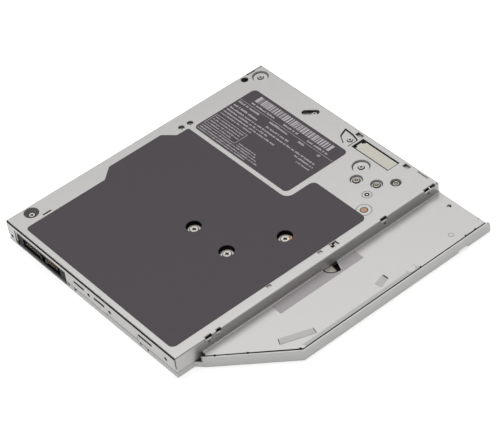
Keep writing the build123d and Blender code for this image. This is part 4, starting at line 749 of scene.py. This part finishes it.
# dark strips along the hole's edge and a dark plate below it: painted shade in the hole
shadePiece("hole_edge_shade", "chassis", joined([strip(a, b, edgeHalf, *edgeHeights) for a, b in cupEdges]))
shadePiece("hole_shadow", "chassis", sheet(cupSettings["floor"], *cupSettings["holeShadowHeights"]))
pocketLoop = circle(cupSettings["pocketSpot"], cupSettings["pocketRadius"], cupSettings["pocketSides"])
pocketFloor = sheet(pocketLoop, *cupSettings["pocketHeights"])
newPiece("pocket_floor", "chassis", "plated_sheet", *pocketFloor, "white_plastic")
print("latches and cup")


# Tapes and patches on the wing; the patch and the bar are its pressed tab and bridge, in a darker grey as
# painted shade
wingSettings = {
    "tape": [
        (103.4, 43.3), (108.5, 43.3), (108.5, 83.4), (103.4, 83.4), (103.4, 75.6),
        (107.45, 73.7), (106.3, 70.0), (104.6, 68.5), (103.4, 68.2),
    ],
    "patch": [(121.5, 77.0), (124.4, 77.4), (122.9, 81.7), (120.1, 81.7)],
    "bar": [(117.3, 34.5), (119.95, 33.2), (124.7, 45.8), (122.0, 46.55)],
    "edge": [(125.4, 38.6), (127.0, 39.6), (127.0, 94.0), (125.4, 94.0)],
    "lift": 0.005,
    "tapeThick": 0.06,
    "patchThick": 0.1,
}
for name, key, thick, finish in (
    ("wing_strip", "tape", "tapeThick", "wing_tape"),
    ("wing_patch", "patch", "patchThick", "edge_tape"),
    ("wing_bar", "bar", "patchThick", "edge_tape"),
    ("wing_edge", "edge", "tapeThick", "edge_tape"),
):
    plate = sheet(wingSettings[key], wingTop + wingSettings["lift"], wingTop + wingSettings[thick])
    newPiece(name, "chassis", "plated_sheet", *plate, finish)
print("wing")


# Lead screw's thread: 3 mm lead, phased so that the nut's tooth stands in its groove
threadSettings = {
    "travel": 125.35,
    "side": -16.5,
    "height": 6.9,
    "lead": 3.0,
    "crest": 18.75,
    "turns": (-0.9, 11.4),
    "section": [(0.85, -0.4), (1.25, -0.13), (1.25, 0.13), (0.85, 0.4)],
    "perTurn": 36,
}


def leadThread(settings):
    # u = crest + lead t + width, v = side + r cos 2 pi t, z = height + r sin 2 pi t, with t in turns
    first, last = settings["turns"]
    t = np.linspace(first, last, int((last - first) * settings["perTurn"]))[:, None]
    radius, wide = np.array(settings["section"]).T
    u = settings["crest"] + settings["lead"] * t + wide
    v = settings["side"] + radius * np.cos(2 * np.pi * t)
    z = settings["height"] + radius * np.sin(2 * np.pi * t)
    along = np.radians(settings["travel"])
    x = spindle[0] + u * np.cos(along) - v * np.sin(along)
    y = spindle[1] + u * np.sin(along) + v * np.cos(along)
    return tube(np.stack([x, y, z], axis=-1))


newPiece("lead_thread", "screw", "polished_rod", *leadThread(threadSettings))
print("thread")


# Floor, white to the camera, to mirrors and to glass, with a weaker glow for the light it throws back
white = (1.0, 1.0, 1.0, 1.0)
stageSettings = {
    "half": 1.6,
    "floorZ": -0.0002,
    "floorColour": (0.86, 0.86, 0.86, 1.0),
    "floorRoughness": 0.9,
    "glow": 0.62,
    "bounce": 0.2,
    "world": 0.09,
    "lamps": {
        "key_lamp": ((-0.3, 0.12, 1.1), 1.5, 13.1),
        "side_lamp": ((-0.35, -0.95, 0.4), 0.6, 0.35),
    },
}
corners = np.array([(-1, -1), (1, -1), (1, 1), (-1, 1)]) * stageSettings["half"]
floorMesh = bpy.data.meshes.new("floor")
floorMesh.from_pydata([(x, y, stageSettings["floorZ"]) for x, y in corners.tolist()], [], [(0, 1, 2, 3)])
floor = bpy.data.objects.new("floor", floorMesh)
bpy.context.scene.collection.objects.link(floor)
floorMaterial = bpy.data.materials.new("floor_pale")
floorMaterial.use_nodes = True
floorTree = floorMaterial.node_tree
floorShader = floorTree.nodes["Principled BSDF"]
floorShader.inputs["Base Color"].default_value = stageSettings["floorColour"]
floorShader.inputs["Roughness"].default_value = stageSettings["floorRoughness"]
floorMesh.materials.append(floorMaterial)


def seenRay(tree):
    # 1 for camera, glossy and transmission rays, 0 for the rays that light the part
    path = tree.nodes.new("ShaderNodeLightPath")
    total = path.outputs["Is Camera Ray"]
    for ray in ("Is Glossy Ray", "Is Transmission Ray"):
        adding = tree.nodes.new("ShaderNodeMath")
        adding.operation = "MAXIMUM"
        tree.links.new(total, adding.inputs[0])
        tree.links.new(path.outputs[ray], adding.inputs[1])
        total = adding.outputs["Value"]
    return total


floorStrength = floorTree.nodes.new("ShaderNodeMapRange")
floorStrength.inputs["To Min"].default_value = stageSettings["bounce"]
floorStrength.inputs["To Max"].default_value = stageSettings["glow"]
floorGlow = floorTree.nodes.new("ShaderNodeEmission")
floorAdd = floorTree.nodes.new("ShaderNodeAddShader")
floorTree.links.new(seenRay(floorTree), floorStrength.inputs["Value"])
floorTree.links.new(floorStrength.outputs["Result"], floorGlow.inputs["Strength"])
floorTree.links.new(floorShader.outputs["BSDF"], floorAdd.inputs[0])
floorTree.links.new(floorGlow.outputs["Emission"], floorAdd.inputs[1])
floorTree.links.new(floorAdd.outputs["Shader"], floorTree.nodes["Material Output"].inputs["Surface"])
print("floor")


# World, white behind the part for the camera and dim for the light it gives
world = bpy.data.worlds.new("studio")
bpy.context.scene.world = world
world.use_nodes = True
worldTree = world.node_tree
skyLight = worldTree.nodes["Background"]
skyLight.inputs["Color"].default_value = white
skyLight.inputs["Strength"].default_value = stageSettings["world"]
skySeen = worldTree.nodes.new("ShaderNodeBackground")
skySeen.inputs["Color"].default_value = white
skySeen.inputs["Strength"].default_value = 1.0
skyMix = worldTree.nodes.new("ShaderNodeMixShader")
skyPath = worldTree.nodes.new("ShaderNodeLightPath")
worldTree.links.new(skyPath.outputs["Is Camera Ray"], skyMix.inputs["Fac"])
worldTree.links.new(skyLight.outputs["Background"], skyMix.inputs[1])
worldTree.links.new(skySeen.outputs["Background"], skyMix.inputs[2])
worldTree.links.new(skyMix.outputs["Shader"], worldTree.nodes["World Output"].inputs["Surface"])
for name, (spot, size, power) in stageSettings["lamps"].items():
    lampData = bpy.data.lights.new(name, "AREA")
    lampData.energy = power
    lampData.size = size
    lamp = bpy.data.objects.new(name, lampData)
    bpy.context.scene.collection.objects.link(lamp)
    lamp.location = spot
    lamp.rotation_euler = (-Vector(spot)).to_track_quat("-Z", "Y").to_euler()
print("stage")


# Camera, solved from the photograph's straight edges and corners
cameraSettings = {
    "lens": 151.31,
    "sensor": 36.0,
    "location": (536.05, -266.87, 537.42),
    "right": (0.6436, 0.7594, -0.0949),
    "forward": (-0.6011, 0.4247, -0.6771),
}
cameraData = bpy.data.cameras.new("camera")
cameraData.lens = cameraSettings["lens"]
cameraData.sensor_width = cameraSettings["sensor"]
camera = bpy.data.objects.new("camera", cameraData)
bpy.context.scene.collection.objects.link(camera)
rightWay = Vector(cameraSettings["right"]).normalized()
backWay = -Vector(cameraSettings["forward"]).normalized()
upWay = backWay.cross(rightWay).normalized()
rightWay = upWay.cross(backWay)
turn = Matrix((rightWay, upWay, backWay)).transposed().to_4x4()
camera.matrix_world = Matrix.Translation(place(cameraSettings["location"])) @ turn
bpy.context.scene.camera = camera
bpy.context.scene.view_settings.view_transform = "Standard"
print("camera")
